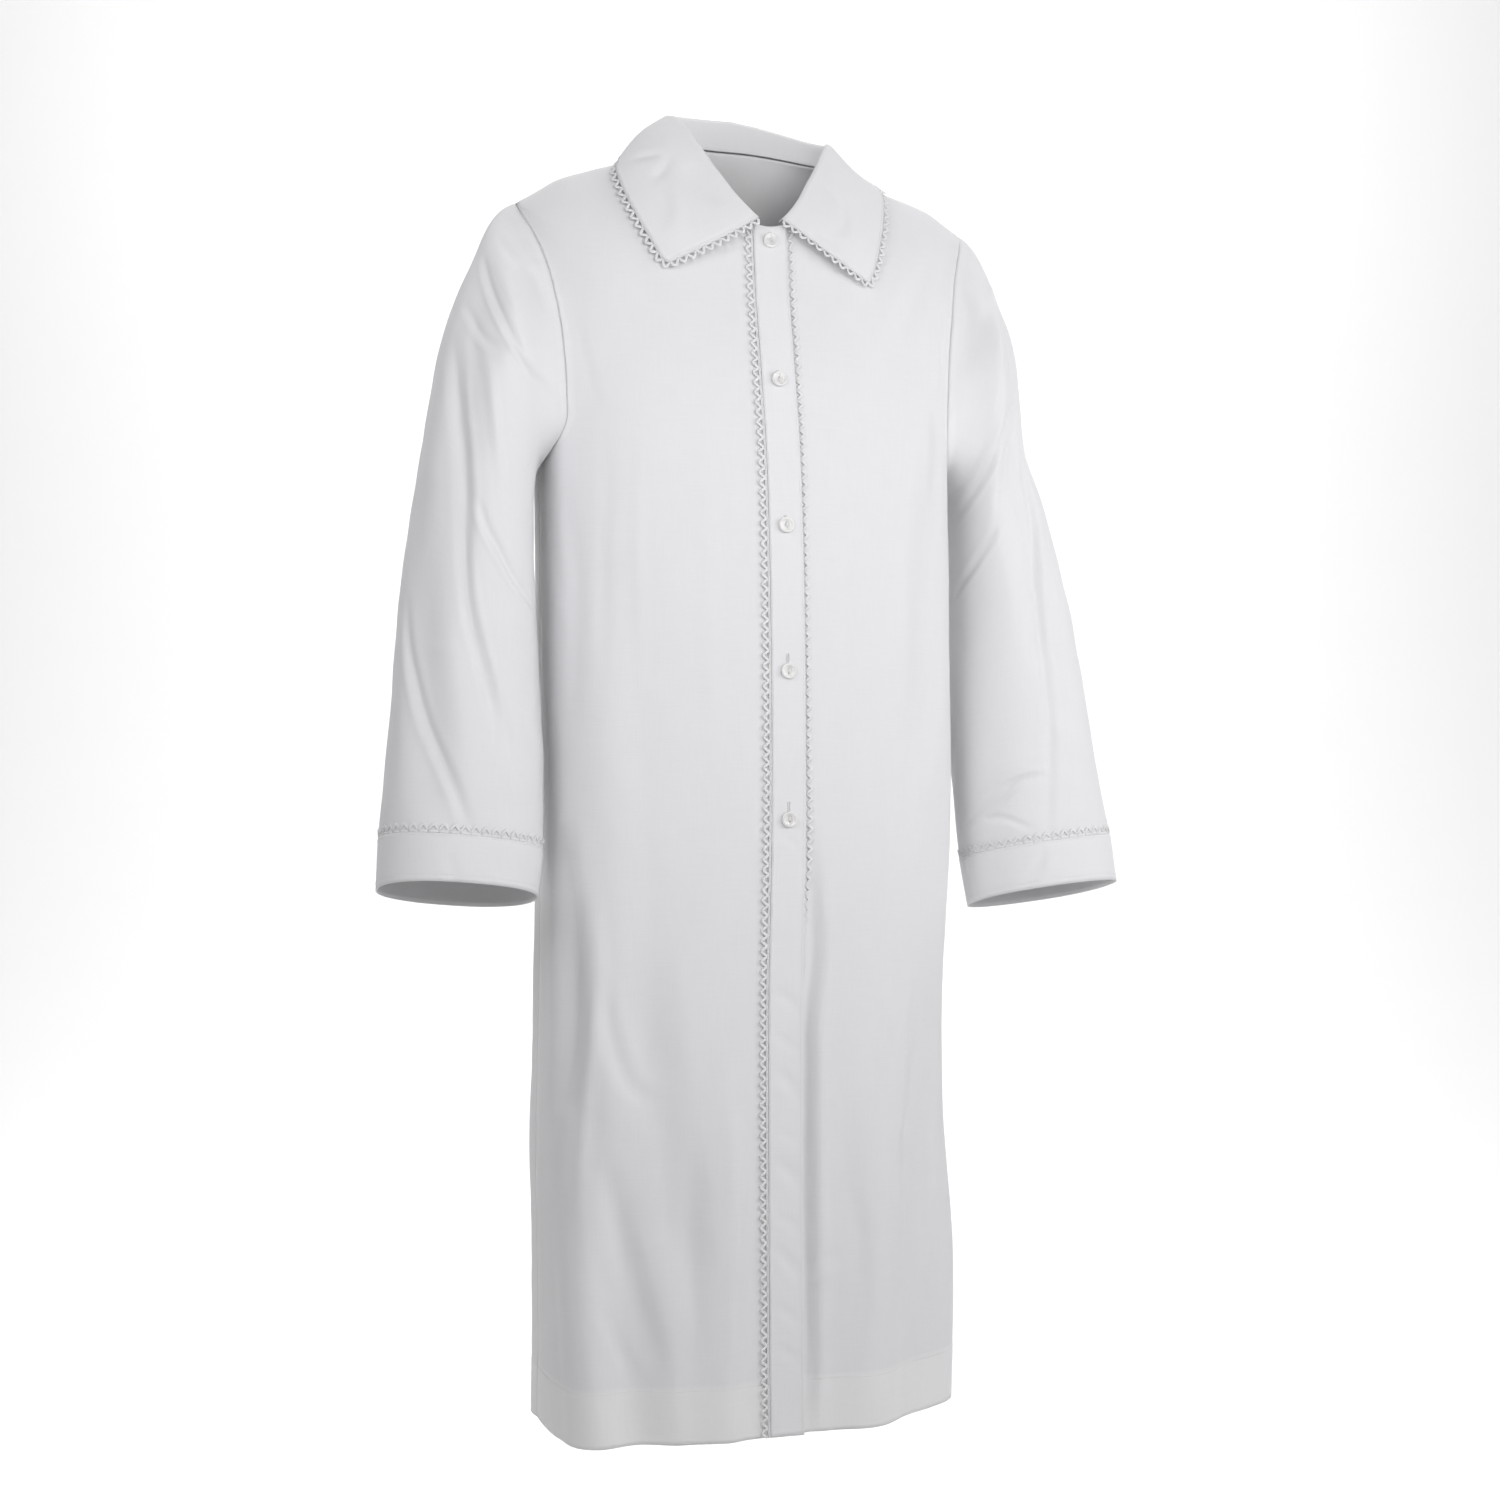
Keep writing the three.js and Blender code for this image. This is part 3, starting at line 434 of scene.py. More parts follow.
def neck_point(turn):
    """The neck seam at a turn from the centre front, 180 at the centre back."""
    across, ahead = np.sin(np.radians(turn)), np.cos(np.radians(turn))
    low = NECK_LEFT_LOW * np.maximum(across, 0) ** 2
    level = np.where(
        ahead > 0,
        -NECK_FRONT_DROP * np.abs(ahead) ** 2.3,
        NECK_BACK_RISE * np.abs(ahead) ** 0.8,
    )
    depth = np.where(ahead > 0, -NECK_FRONT * ahead, -NECK_BACK * ahead)
    return point(NECK_HALF * across, depth, level - low)


def large_fold_push(folds, distance, drop):
    """How far the large folds push the cloth out. Each grows from its top and fades near its low end."""
    push = np.zeros(distance.shape)
    for top, low, start, end, half, out in folds:
        share = (drop - top) / (low - top)
        away = np.clip((distance - lerp(start, end, share)) / half, -1, 1)
        ends = smoothstep(share, 0, 0.4) * (1 - smoothstep(share, 0.75, 1))
        push += out * ends * np.cos(away * np.pi / 2) ** 2
    return push


YOKE_BEND = 1.6  # how late the rows of the yoke's lower end turn up towards the armhole
HEM_BEND = {"front": 6, "back": 2}  # and how late the hem does towards its side
CROWDING = 2.5  # how near the armhole the columns crowd together
SLIP_FADES = (20, 80)  # where the slipped part of the left front ends, from its band seam


def panel_drops(side, facing, share):
    """The drops of a panel's points below its yoke, and of its armhole's points."""
    down = np.linspace(0, 1, ARMHOLE_ROWS + 1)[:, None]
    armhole = lerp(SHOULDER_DROP, UNDERARM_DROP, (1 - np.cos(np.pi * down)) / 2)
    upper = lerp(lerp(YOKE_DROP[facing], UNDERARM_DROP, down), armhole, share**YOKE_BEND)
    skirt = np.linspace(0, 1, SKIRT_ROWS + 1)[1:, None]
    middle_lift = 0 if facing == "front" else HEM_LIFT[0]
    hem = LENGTH - lerp(middle_lift, HEM_LIFT[side], share ** HEM_BEND[facing])
    return np.concatenate([upper, lerp(UNDERARM_DROP, hem, skirt)]), armhole


def row_ends(side, facing, drop, armhole):
    """The turns at which each row starts and ends, in degrees from the centre line to the side."""
    front = facing == "front"
    half = "left" if side > 0 else "right"
    mid = read(BODY, "mid", armhole)
    ahead = np.clip((read(ARMHOLE, facing, armhole) - mid) / (read(BODY, facing, armhole) - mid), 0, 1)
    power = read(CORNERS, half if front else "rear", armhole)
    end = np.degrees(np.arctan2((1 - ahead**power) ** (1 / power), ahead))
    end = np.concatenate([end, np.full((SKIRT_ROWS, 1), 90.0)]) + 0 * drop
    start = np.zeros(drop.shape)
    if front:
        edge = BAND_HALF - (read(SLIP, "across", drop) if side > 0 else 0)
        start = np.degrees(np.arctan2(edge / read(BODY, half, drop), 1))
    return start, end


def spread_out(side, facing, drop, start, end, share):
    """The turns of a panel's points, spread evenly along each row, and their distances from its start."""
    steps = np.linspace(0, 1, LENGTH_STEPS + 1)
    line = section(drop[..., None], lerp(start[..., None], 90, steps), side, facing)
    lengths = along_rows(line.reshape(-1, LENGTH_STEPS + 1, 3)).reshape(*drop.shape, -1)
    full = lengths[..., -1]
    at_end = np.clip((end - start) / (90 - start) * LENGTH_STEPS, 0, LENGTH_STEPS - 1e-6)
    below = at_end.astype(int)[..., None]
    kept = lerp(taken(lengths, below), taken(lengths, below + 1), at_end - below[..., 0])
    distance = full * share - (full - kept) * share**CROWDING
    i = np.clip((lengths < distance[..., None]).sum(-1), 1, LENGTH_STEPS)[..., None]
    low, high = taken(lengths, i - 1), taken(lengths, i)
    turn = lerp(start, 90, (i[..., 0] - 1 + (distance - low) / (high - low)) / LENGTH_STEPS)
    return np.minimum(turn, 90), distance


def quarter(side, facing):
    """A quarter of the body from its centre line or band seam to its side or armhole."""
    front = facing == "front"
    share = np.linspace(0, 1, PANEL_COLUMNS + 1)[None, :]
    drop, armhole = panel_drops(side, facing, share)
    start, end = row_ends(side, facing, drop, armhole)
    turn, distance = spread_out(side, facing, drop, start, end, share)

    step = 0.5
    ahead_of_it = section(drop, np.minimum(turn + step, 90), side, facing)
    tangent = unit(ahead_of_it - section(drop, np.abs(turn - step), side, facing))
    tangent[turn < step] = (side, 0, 0)
    outward = point(tangent[..., 1], -tangent[..., 0], 0) * (side if front else -side)
    if front:
        push = large_fold_push(LARGE_FOLDS[side, "front"], distance + BAND_HALF, drop)
        push *= smoothstep(distance, LACE_WIDTH, 4 * LACE_WIDTH)
    else:
        push = large_fold_push(LARGE_FOLDS[side, "back"], distance, drop)
        push += large_fold_push(LARGE_FOLDS[-side, "back"], -distance, drop)
    if front and side > 0:
        push -= read(SLIP, "under", drop) * (1 - smoothstep(distance, *SLIP_FADES))
    body = section(drop, turn, side, facing) + outward * push[..., None]

    first = math.degrees(math.asin(BAND_HALF / NECK_HALF))
    neck = neck_point(side * (lerp(first, 90, share[0]) if front else lerp(180, 90, share[0])))
    yoke = lerp(neck[None], body[0][None], np.linspace(0, 1, YOKE_ROWS + 1)[:-1, None, None])
    return np.concatenate([yoke, body])


YOKE_END = YOKE_ROWS
UNDERARM = YOKE_END + ARMHOLE_ROWS
LAST_ROW = UNDERARM + SKIRT_ROWS
ROWS = np.arange(LAST_ROW + 1)[:, None]
SEWN = (ROWS <= YOKE_END) | (ROWS >= UNDERARM)  # rows where front and back are sewn together
# Where the cloth is eased round a hard turn: how many rows or columns wide, and how many times.
YOKE_KINK, YOKE_KINK_ROUNDS = 9, 60
SHOULDER_RIDGE, SHOULDER_RIDGE_ROUNDS = 12, 80
RIDGE_RAISED = 16  # columns beside the shoulder seam that are raised again to the seam's own height


def eased(grid, mask, rounds, axis):
    """Lets the cloth round a hard turn, where the mask says, along one axis of its grid."""
    grid = grid.copy()
    for _ in range(rounds):
        middle = (np.roll(grid, -1, axis) + np.roll(grid, 1, axis)) / 2
        grid += 0.5 * mask[..., None] * (middle - grid)
    return grid


def joined(front, back):
    """Rows that run from the front's centre line over the seam to the back's."""
    return np.concatenate([front, back[:, -2::-1]], 1)


def half_body(side):
    """Front and back of one side, both from the centre line to the side."""
    panels = []
    share = np.linspace(0, 1, PANEL_COLUMNS + 1)[None, :]
    for facing in ("front", "back"):
        kink = np.exp(-(((ROWS - YOKE_END) / YOKE_KINK) ** 2)) * (1 - smoothstep(share, 0.7, 0.98))
        kink[0] = 0
        panels.append(eased(quarter(side, facing), kink, YOKE_KINK_ROUNDS, 0))
    front, back = panels
    across = np.arange(2 * PANEL_COLUMNS + 1)[None, :] - PANEL_COLUMNS
    high = slice(0, YOKE_END + 1)
    fading = smoothstep(YOKE_END - ROWS[high], 0, 10) * smoothstep(ROWS[high], 0, 4)
    ridge = np.exp(-((across / SHOULDER_RIDGE) ** 2)) * fading
    yoke = joined(front[high], back[high])
    rounded = eased(yoke, ridge, SHOULDER_RIDGE_ROUNDS, 1)
    lost = (yoke - rounded)[:, PANEL_COLUMNS : PANEL_COLUMNS + 1]
    rounded += lost * (np.exp(-((across / RIDGE_RAISED) ** 2)) * fading)[..., None]
    front[high] = rounded[:, : PANEL_COLUMNS + 1]
    back[high] = rounded[:, : PANEL_COLUMNS - 1 : -1]
    return {"front": bowed(front), "back": bowed(back)}


def body_normals(side, panels):
    """Outward normals of a side's front and back, which agree along their seams."""
    front, back = panels["front"], panels["back"]
    whole = normals_of(joined(front, back), -side)
    alone = {"front": normals_of(front, -side), "back": normals_of(back, side)}
    shared = {"front": whole[:, : PANEL_COLUMNS + 1], "back": whole[:, : PANEL_COLUMNS - 1 : -1]}
    return {name: np.where(SEWN[..., None], shared[name], alone[name]) for name in panels}


halves = {side: half_body(side) for side in (1, -1)}

# ---------------- creases of the body

# Places are (distance from the centre line, drop). On the back the wearer's left is positive.
# The left front sinks away beside the free edge of the band.
BAND_GAP = {
    -1: (),
    1: (([(24, 640), (28, 700), (34, 790), (38, 880), (38, 1050), (37, 1225)], 11, -8, 0.1),),
}
FRONT_CREASES = {
    -1: (
        ([(226, 640), (214, 730), (208, 820), (213, 905)], 25, -11, 0.3, 0.5),
        ([(181, 700), (176, 790), (187, 880), (196, 1000)], 10, 2.2, 0.1),
        ([(178, 771), (160, 848), (145, 880), (123, 895)], 12, -2.8, 0.3, 0.4),
        ([(169, 950), (152, 1033), (134, 1096), (115, 1150)], 15, -3.0, 0.1, -0.3),
        ([(150, 1032), (131, 1026), (113, 1018)], 5, 1.2, 0.4),
        ([(182, 1070), (158, 1120), (142, 1150)], 10, -1.6),
        ([(52, 900), (47, 1006), (53, 1135)], 12, 1.9),
        ([(166, 283), (172, 400), (174, 528)], 9, -1.0),
        ([(136, 281), (140, 400), (138, 530)], 8, 0.8),
        ([(205, 330), (200, 430), (204, 560)], 13, -1.6),
        ([(70, 240), (76, 420), (70, 610)], 13, 0.6),
        ([(205, 160), (188, 205), (172, 262)], 9, -1.2, 0.1, 0.3),
        ([(88, 930), (93, 1010), (88, 1120)], 14, -1.4),
    ),
    1: (
        ([(216, 85), (168, 135), (120, 210)], 18, -3.2),
        ([(177, 232), (181, 285), (176, 335)], 14, -2.8),
        ([(204, 150), (196, 195), (186, 236)], 6, -1.3, 0.3, 0.3),
        ([(91, 790), (117, 817), (112, 857), (114, 910)], 9, 2.0, 0.2),
        ([(168, 900), (150, 930), (136, 958)], 10, -1.8, 0, 0.3),
        ([(206, 900), (198, 1000), (189, 1105)], 11, 1.8, 0.1),
        ([(150, 785), (161, 870), (150, 980), (162, 1085)], 14, -2.6),
        ([(82, 975), (90, 1060), (79, 1135)], 13, -1.5),
        ([(26, 1070), (46, 1064), (70, 1053)], 6, 2.0, 0.3),
        ([(26, 1052), (46, 1048), (68, 1036)], 7, -2.1, 0.1),
        ([(26, 1112), (40, 1108), (56, 1099)], 5, 1.1, 0.3),
        ([(101, 555), (106, 650), (99, 745)], 11, 0.9),
        ([(60, 250), (66, 400), (62, 560)], 12, -0.6),
    ),
}
BACK_CREASES = (
    ([(0, 250), (7, 420), (-3, 640)], 15, -1.8),
    ([(62, 330), (71, 520), (65, 770)], 13, 1.6),
    ([(-95, 300), (-87, 480), (-98, 690)], 14, -1.9),
    ([(125, 262), (152, 330), (190, 372)], 11, -2.2, 0.2, 0.3),
    ([(-132, 255), (-158, 330), (-196, 366)], 12, -2.3, 0.2, -0.3),
    ([(-40, 700), (-53, 900), (-45, 1125)], 14, -2.5),
    ([(35, 820), (45, 960), (39, 1145)], 13, 2.2),
    ([(112, 740), (121, 900), (105, 1085)], 15, -2.7),
    ([(-130, 820), (-141, 930), (-125, 1105)], 13, 2.0),
    ([(180, 880), (163, 1000), (151, 1130)], 12, -2.2, 0.1, 0.3),
    ([(-192, 850), (-176, 940), (-182, 1070)], 13, -2.2),
    ([(-24, 1002), (4, 1009), (31, 999)], 6, 1.0, 0.3),
    ([(80, 618), (101, 641), (128, 637)], 7, -1.2, 0.2),
    ([(196, 120), (170, 170), (130, 200)], 12, -1.8, 0.1, 0.2),
    ([(-200, 112), (-172, 160), (-140, 208)], 13, -2.0, 0.1, -0.2),
)


def flat_places(side, facing):
    """The distance from the centre line and the drop of every point of a panel."""
    grid = halves[side][facing]
    across = along_rows(grid) + (BAND_HALF if facing == "front" else 0)
    return across, -grid[..., 2]


# The cloth's own unevenness, as (height, size, seed, stretch).
FRONT_WAVES = ((0.55, 70, 3, 1.8), (0.16, 24, 7, 1.5))
BACK_WAVES = ((0.6, 75, 11, 1.8), (0.16, 24, 12, 1.5))
SEAM_PULL = 5  # columns beside a seam over which both sides come to the same height


def uneven(u, v, kinds, other=0):
    """The sum of several kinds of waves. other: added to their seeds."""
    return sum(high * waves(u, v, size, seed + other, stretch) for high, size, seed, stretch in kinds)


def dressed(side):
    """A side's front and back with their creases and the cloth's own unevenness."""
    heights = {}
    for facing in ("front", "back"):
        u, v = flat_places(side, facing)
        if facing == "front":
            height = creased(u, v, FRONT_CREASES[side])
            height += uneven(u, v, FRONT_WAVES, side)
            height *= smoothstep(u - BAND_HALF, 2, 30)
            height += creased(u, v, BAND_GAP[side]) * smoothstep(u - BAND_HALF, 0, 8)
        else:
            height = creased(side * u, v, BACK_CREASES)
            height += uneven(side * u, v, BACK_WAVES)
        hem = smoothstep(HEM_DEPTH - (v[-1:] - v), -1, 2) * HEM_RISE
        heights[facing] = (height + hem) * smoothstep(ROWS, 0, 5)
    seam = (heights["front"][:, -1] + heights["back"][:, -1]) / 2
    away = PANEL_COLUMNS - np.arange(PANEL_COLUMNS + 1)[None, :]
    for facing, height in heights.items():
        pull = (seam - height[:, -1])[:, None] * np.exp(-away / SEAM_PULL)
        heights[facing] = height + np.where(SEWN, pull, 0)
    outward = body_normals(side, halves[side])
    return {name: halves[side][name] + outward[name] * heights[name][..., None] for name in heights}


body = {side: dressed(side) for side in halves}

# ---------------- sleeves

# Places are (turn in degrees from the outer line to the front, drop).
SLEEVE_CREASES = {
    -1: (
        ([(22, 116), (42, 150), (57, 172), (78, 202), (93, 218), (110, 236), (128, 256)], 5, -4.0, 0.8, 0.7),
        ([(28, 98), (54, 128), (66, 141), (83, 176)], 4.5, -2.0, 0.6, -0.4),
        ([(24, 164), (54, 201), (86, 217)], 6, -2.0, 0.5, 0.3),
        ([(22, 190), (42, 271), (54, 316), (63, 372), (69, 420)], 12, -5.0, 0.3, -0.6),
        ([(45, 190), (66, 233), (85, 300), (100, 366)], 9, 1.8, 0.1),
        ([(61, 370), (68, 412), (75, 450), (84, 483), (93, 518), (102, 580)], 8, -5.0, 0.6, -0.6),
        ([(12, 430), (20, 474), (32, 512), (44, 547), (60, 579), (75, 613), (86, 648)], 8, -4.0, 0.6, 0.4),
        ([(72, 346), (84, 374), (99, 397), (114, 419), (144, 448)], 6.5, -4.6, 0.7, 0.6),
        ([(90, 500), (108, 560), (122, 612)], 9, -1.8, 0.1),
        ([(122, 236), (140, 262), (162, 284)], 9, -2.4, 0.3),
        ([(200, 330), (235, 380), (282, 402)], 11, -3.0, 0.3, 0.4),
        ([(214, 450), (245, 505), (262, 585)], 11, -2.8, 0.2),
        ([(302, 180), (285, 300), (291, 430)], 13, -3.2, 0.1),
        ([(331, 250), (322, 380), (335, 525)], 12, 2.0),
        ([(250, 240), (263, 330), (255, 425)], 9, 1.6, 0.1),
        ([(312, 465), (300, 560), (313, 650)], 11, -2.4, 0.1),
        ([(182, 560), (190, 610), (178, 650)], 9, -1.8, 0.1),
    ),
    1: (
        ([(22, 106), (62, 147), (87, 187), (106, 220)], 6.5, -3.4, 0.5, 0.4),
        ([(54, 106), (69, 146), (84, 176), (101, 212)], 4.5, -2.4, 0.6, -0.3),
        ([(46, 126), (75, 165), (108, 223), (146, 284)], 7, 1.8, 0.4),
        ([(118, 246), (141, 283), (168, 306)], 7, -1.8, 0.4, 0.4),
        ([(60, 228), (105, 276), (141, 319), (178, 352)], 8, -2.6, 0.4, 0.4),
        ([(106, 348), (135, 384), (180, 432)], 7, -3.0, 0.5, 0.4),
        (
            [
                (24, 114), (38, 160), (48, 216), (55, 281), (68, 355),
                (80, 427), (84, 491), (89, 567), (104, 668),
            ],
            8.5, -4.4, 0.45, 0.3,
        ),
        ([(92, 592), (120, 597), (152, 619)], 7, 3.2, 0.4),
        ([(93, 596), (117, 601), (138, 624), (180, 650)], 6, -3.6, 0.5, 0.4),
        ([(112, 650), (132, 639), (160, 640)], 5, -2.4, 0.5),
        ([(200, 380), (235, 412), (272, 402)], 11, -2.8, 0.3, 0.3),
        ([(331, 190), (318, 320), (327, 445)], 12, -2.8, 0.1),
        ([(284, 235), (296, 360), (287, 475)], 11, 2.0),
        ([(240, 480), (256, 560), (247, 655)], 11, -2.6, 0.1),
        ([(346, 455), (338, 560), (349, 655)], 10, 1.8),
        ([(196, 500), (186, 560), (200, 610)], 9, -2.0, 0.1),
    ),
}
CUFF_CREASES = {
    -1: (
        ([(70, 662), (78, 690), (74, 715)], 8, -1.0, 0.1),
        ([(300, 650), (294, 690), (301, 712)], 9, -1.2),
    ),
    1: (
        ([(104, 668), (114, 690), (128, 706)], 7, -2.4, 0.4, 0.5),
        ([(190, 672), (184, 700), (191, 722)], 9, -1.4, 0.1),
        ([(310, 668), (302, 700), (309, 720)], 10, 1.2),
    ),
}
MM_PER_DEGREE = 1.22  # round an arm of about 440 mm
SLEEVE_ROWS = 190
CUFF_ROWS = 12
ROOT_ROWS = 18  # between the armhole and the end of the head
ARM_TURN = np.arange(ARM_TURNS)[None, :] * 360 / ARM_TURNS  # of each column, from the outer line to the front
ARM_AROUND = 360 * MM_PER_DEGREE
SLEEVE_WAVES = (0.5, 60, 21)  # height, size and seed
HEAD_WAY = (0.93, 0.3)  # the head leaves the shoulder this much outwards and down
HEAD_FULLNESS = 1.25


def sleeve_ring(side, ring, turn):
    """Rings of a sleeve's form. turn: degrees from its outer line to the front."""
    own = {name: read(LEFT_ARM, name, ring) * (side > 0) for name in ("longer", "nearer", "back")}
    middle = read(SLEEVE, "mid", ring) + own["back"]
    over = point(side * (read(SLEEVE, "out", ring) - own["nearer"]), middle, 0)
    over[..., 2] -= read(SLEEVE, "out_drop", ring) + own["longer"]
    under = point(side * read(SLEEVE, "under", ring), middle, 0)
    under[..., 2] -= read(SLEEVE, "under_drop", ring) + own["longer"]
    centre = (over + under) / 2
    ahead, out = np.sin(np.radians(turn)), np.cos(np.radians(turn))
    push = 0
    for first, last, start, end, half, depth in LARGE_SLEEVE_FOLDS[side]:
        at = np.clip((ring - first) / (last - first), 0, 1)
        away = (turn - lerp(start, end, at) + 180) % 360 - 180
        near = np.cos(np.clip(away / half, -1, 1) * np.pi / 2) ** 2
        push = push + depth * near * np.sin(np.pi * at) ** 0.7
    deep = read(SLEEVE, "deep", ring)
    size = (np.abs(ahead) ** SLEEVE_SQUARE + np.abs(out) ** SLEEVE_SQUARE) ** (-1 / SLEEVE_SQUARE)
    size = size * (1 + push / deep)
    place = centre + (over - centre) * (size * out)[..., None]
    narrowed = 1 - HEAD_NARROWING * (1 - smoothstep(ring, 1, 5)) * np.clip(out, 0, 1) ** 2
    place[..., 1] -= deep * size * ahead * narrowed
    place[..., 2] += read(SLEEVE, "lean", ring) * size * ahead
    return bowed(place)


def armhole_loop(side):
    """The armhole from the shoulder down its front edge and up its back edge."""
    front = body[side]["front"][YOKE_END : UNDERARM + 1, -1]
    back = body[side]["back"][YOKE_END : UNDERARM + 1, -1]
    return np.concatenate([front, back[-2:0:-1]])


def arm_places(grid):
    """The distance round the arm from its outer line and the drop of every point of a sleeve or cuff."""
    return ARM_TURN * MM_PER_DEGREE + 0 * grid[..., 0], -grid[..., 2]


def in_mm(creases):
    """Creases of an arm with their turns made distances round it."""
    return [([(turn * MM_PER_DEGREE, drop) for turn, drop in points], *rest) for points, *rest in creases]


def sleeve_root(side, first_ring):
    """The head of a sleeve: it leaves the armhole's seam and runs smoothly into the first ring below."""
    loop = armhole_loop(side)[None]
    ring_step = 0.25
    slope = (sleeve_ring(side, np.array([[HEAD_START + ring_step]]), ARM_TURN) - first_ring) / ring_step
    way = first_ring - loop
    length = np.linalg.norm(way, axis=-1, keepdims=True)
    on_top = np.clip(np.cos(np.radians(ARM_TURN)), 0, 1)[..., None] ** 3
    out, down = HEAD_WAY
    top_way = unit(point(side * out, 0, -down)) * length * HEAD_FULLNESS
    t = np.linspace(0, 1, ROOT_ROWS + 1)[:-1, None, None]
    return passage(t, loop, first_ring, lerp(way, top_way, on_top), slope)


def sleeve(side):
    """A sleeve's form with its creases, from the armhole to the cuff."""
    ring = np.linspace(HEAD_START, WRIST, SLEEVE_ROWS - ROOT_ROWS)[:, None]
    lower = sleeve_ring(side, ring, ARM_TURN)
    grid = np.concatenate([sleeve_root(side, lower[:1]), lower])
    u, v = arm_places(grid)
    creases = in_mm(SLEEVE_CREASES[side])
    height = creased(u, v, creases) + creased(u - ARM_AROUND, v, creases)
    high, size, seed = SLEEVE_WAVES
    angle = 2 * np.pi * u / ARM_AROUND
    height += high * waves(size * np.cos(angle), v + size * np.sin(angle), size, seed + side)
    rows = np.arange(len(grid))[:, None]
    height *= smoothstep(rows, 0, 6) * smoothstep(len(grid) - 1 - rows, 0, 4)
    return grid + normals_of(grid, side, closed=True) * height[..., None]


def cuff(side):
    """A cuff's form, which carries its sleeve on."""
    grid = sleeve_ring(side, np.linspace(WRIST, CUFF_END, CUFF_ROWS)[:, None], ARM_TURN)
    height = creased(*arm_places(grid), in_mm(CUFF_CREASES[side]))
    height *= smoothstep(np.arange(CUFF_ROWS)[:, None], 0, 3)
    return grid + normals_of(grid, side, closed=True) * height[..., None]


sleeves = {side: sleeve(side) for side in (1, -1)}
cuffs = {side: cuff(side) for side in (1, -1)}

# ---------------- bands down the front

BAND_SEAM_RISE, BAND_FREE_RISE = 1.5, 1.9
BAND_COLUMNS, UNDER_BAND_COLUMNS = 16, 6
SEAM_GAP = 0.3  # between two pieces of cloth along the seam that joins them
BAND_OVER = 0.5  # the button band reaches this far over the left front's seam
UNDER_BAND_INSET = 0.6  # the under band stops this far beside the left front's seam
UNDER_BAND_BACK = 2.2  # it runs this far back to its free edge, behind the right front
BAND_NECK_LOW = 1.5  # both bands end this far below the neck seam
# The free edge drags the band down a little between the places where it catches on the cloth below.
BAND_CREASES = (
    ([(3, 214), (14, 220), (24, 230)], 5, -0.5, 0.2),
    ([(6, 652), (16, 655), (27, 664)], 5, -0.7, 0.2),
    ([(2, 796), (16, 801), (33, 818)], 8, -1.1, 0.1, 0.2),
    ([(2, 834), (14, 841), (32, 851)], 7, -0.9, 0.1, 0.2),
    ([(3, 872), (17, 877), (33, 899)], 9, -1.3, 0.1, 0.2),
    ([(2, 920), (13, 926), (30, 934)], 7, -0.8, 0.2, 0.2),
    ([(2, 952), (16, 958), (33, 979)], 9, -1.3, 0.1, 0.2),
    ([(4, 1000), (18, 1007), (33, 1016)], 7, -0.9, 0.2, 0.2),
    ([(2, 1034), (14, 1038), (33, 1062)], 9, -1.4, 0.1, 0.2),
    ([(3, 1084), (17, 1092), (33, 1104)], 8, -1.0, 0.1, 0.2),
    ([(2, 1124), (15, 1126), (32, 1141)], 7, -1.0, 0.2, 0.2),
)


def between_fronts(distance, rows):
    """The front's surface between the two band seams, at a distance from the right one."""
    p = body[-1]["front"][rows, 0][:, None] + point(distance, 0, 0)
    neck = neck_point(np.degrees(np.arcsin(p[:1, :, 0] / NECK_HALF))) - (0, 0, BAND_NECK_LOW)
    fading = np.clip(1 - rows / YOKE_END, 0, 1)[:, None, None] ** 2
    return p + (neck - p[:1]) * fading


def outer_band():
    """It rises from its seam to its free edge, over the lace of the left front."""
    rows = np.arange(LAST_ROW + 1)
    share = np.linspace(0, 1, BAND_COLUMNS + 1)[None, :]
    distance = lerp(SEAM_GAP, 2 * BAND_HALF + BAND_OVER, share)
    grid = between_fronts(distance, rows)
    outward = normals_of(grid, -1)
    height = BAND_SEAM_RISE + BAND_FREE_RISE * share + 0 * grid[..., 0]
    height += creased(distance + 0 * height, -grid[..., 2], BAND_CREASES)
    height += 0.25 * waves(distance, -grid[..., 2], 40, 31, 2)
    return grid + outward * height[..., None]


def under_band():
    """It is sewn to the left front, and lies behind the right one."""
    rows = np.arange(LAST_ROW + 1)
    share = np.linspace(0, 1, UNDER_BAND_COLUMNS + 1)[None, :]
    grid = between_fronts(lerp(2 * BAND_HALF - UNDER_BAND_INSET, SEAM_GAP, share), rows)
    drop = -grid[..., 2]
    grid[..., 0] -= read(SLIP, "across", drop)
    grid[..., 1] += read(SLIP, "under", drop) + UNDER_BAND_BACK * share
    return grid


bands = {-1: outer_band(), 1: under_band()}

# ---------------- collar

COLLAR_STATIONS = 105  # on each side of the centre back
STAND_POINTS, FALL_POINTS = 10, 26
LINE_POINTS = 400  # of the fine line that they are picked from
COLLAR_FRONT = 9  # the turn at which each leaf starts, in degrees from the centre front
CORNER_STEPS = 6  # steps of the grid over which a leaf's sides are measured at its corner
COLLAR_WALL = 1.1
COLLAR_FACE = 1.5  # its outer face stands this far off the form
CORNER_RADIUS = 3.5


def on_yoke(side, along, down):
    """A point of the yoke. along: 0 at the centre front, 1 at the shoulder, 2 at the centre back."""
    grid = halves[side]["front" if along <= 1 else "back"]
    return pick(grid, down * YOKE_ROWS, (along if along <= 1 else 2 - along) * PANEL_COLUMNS)


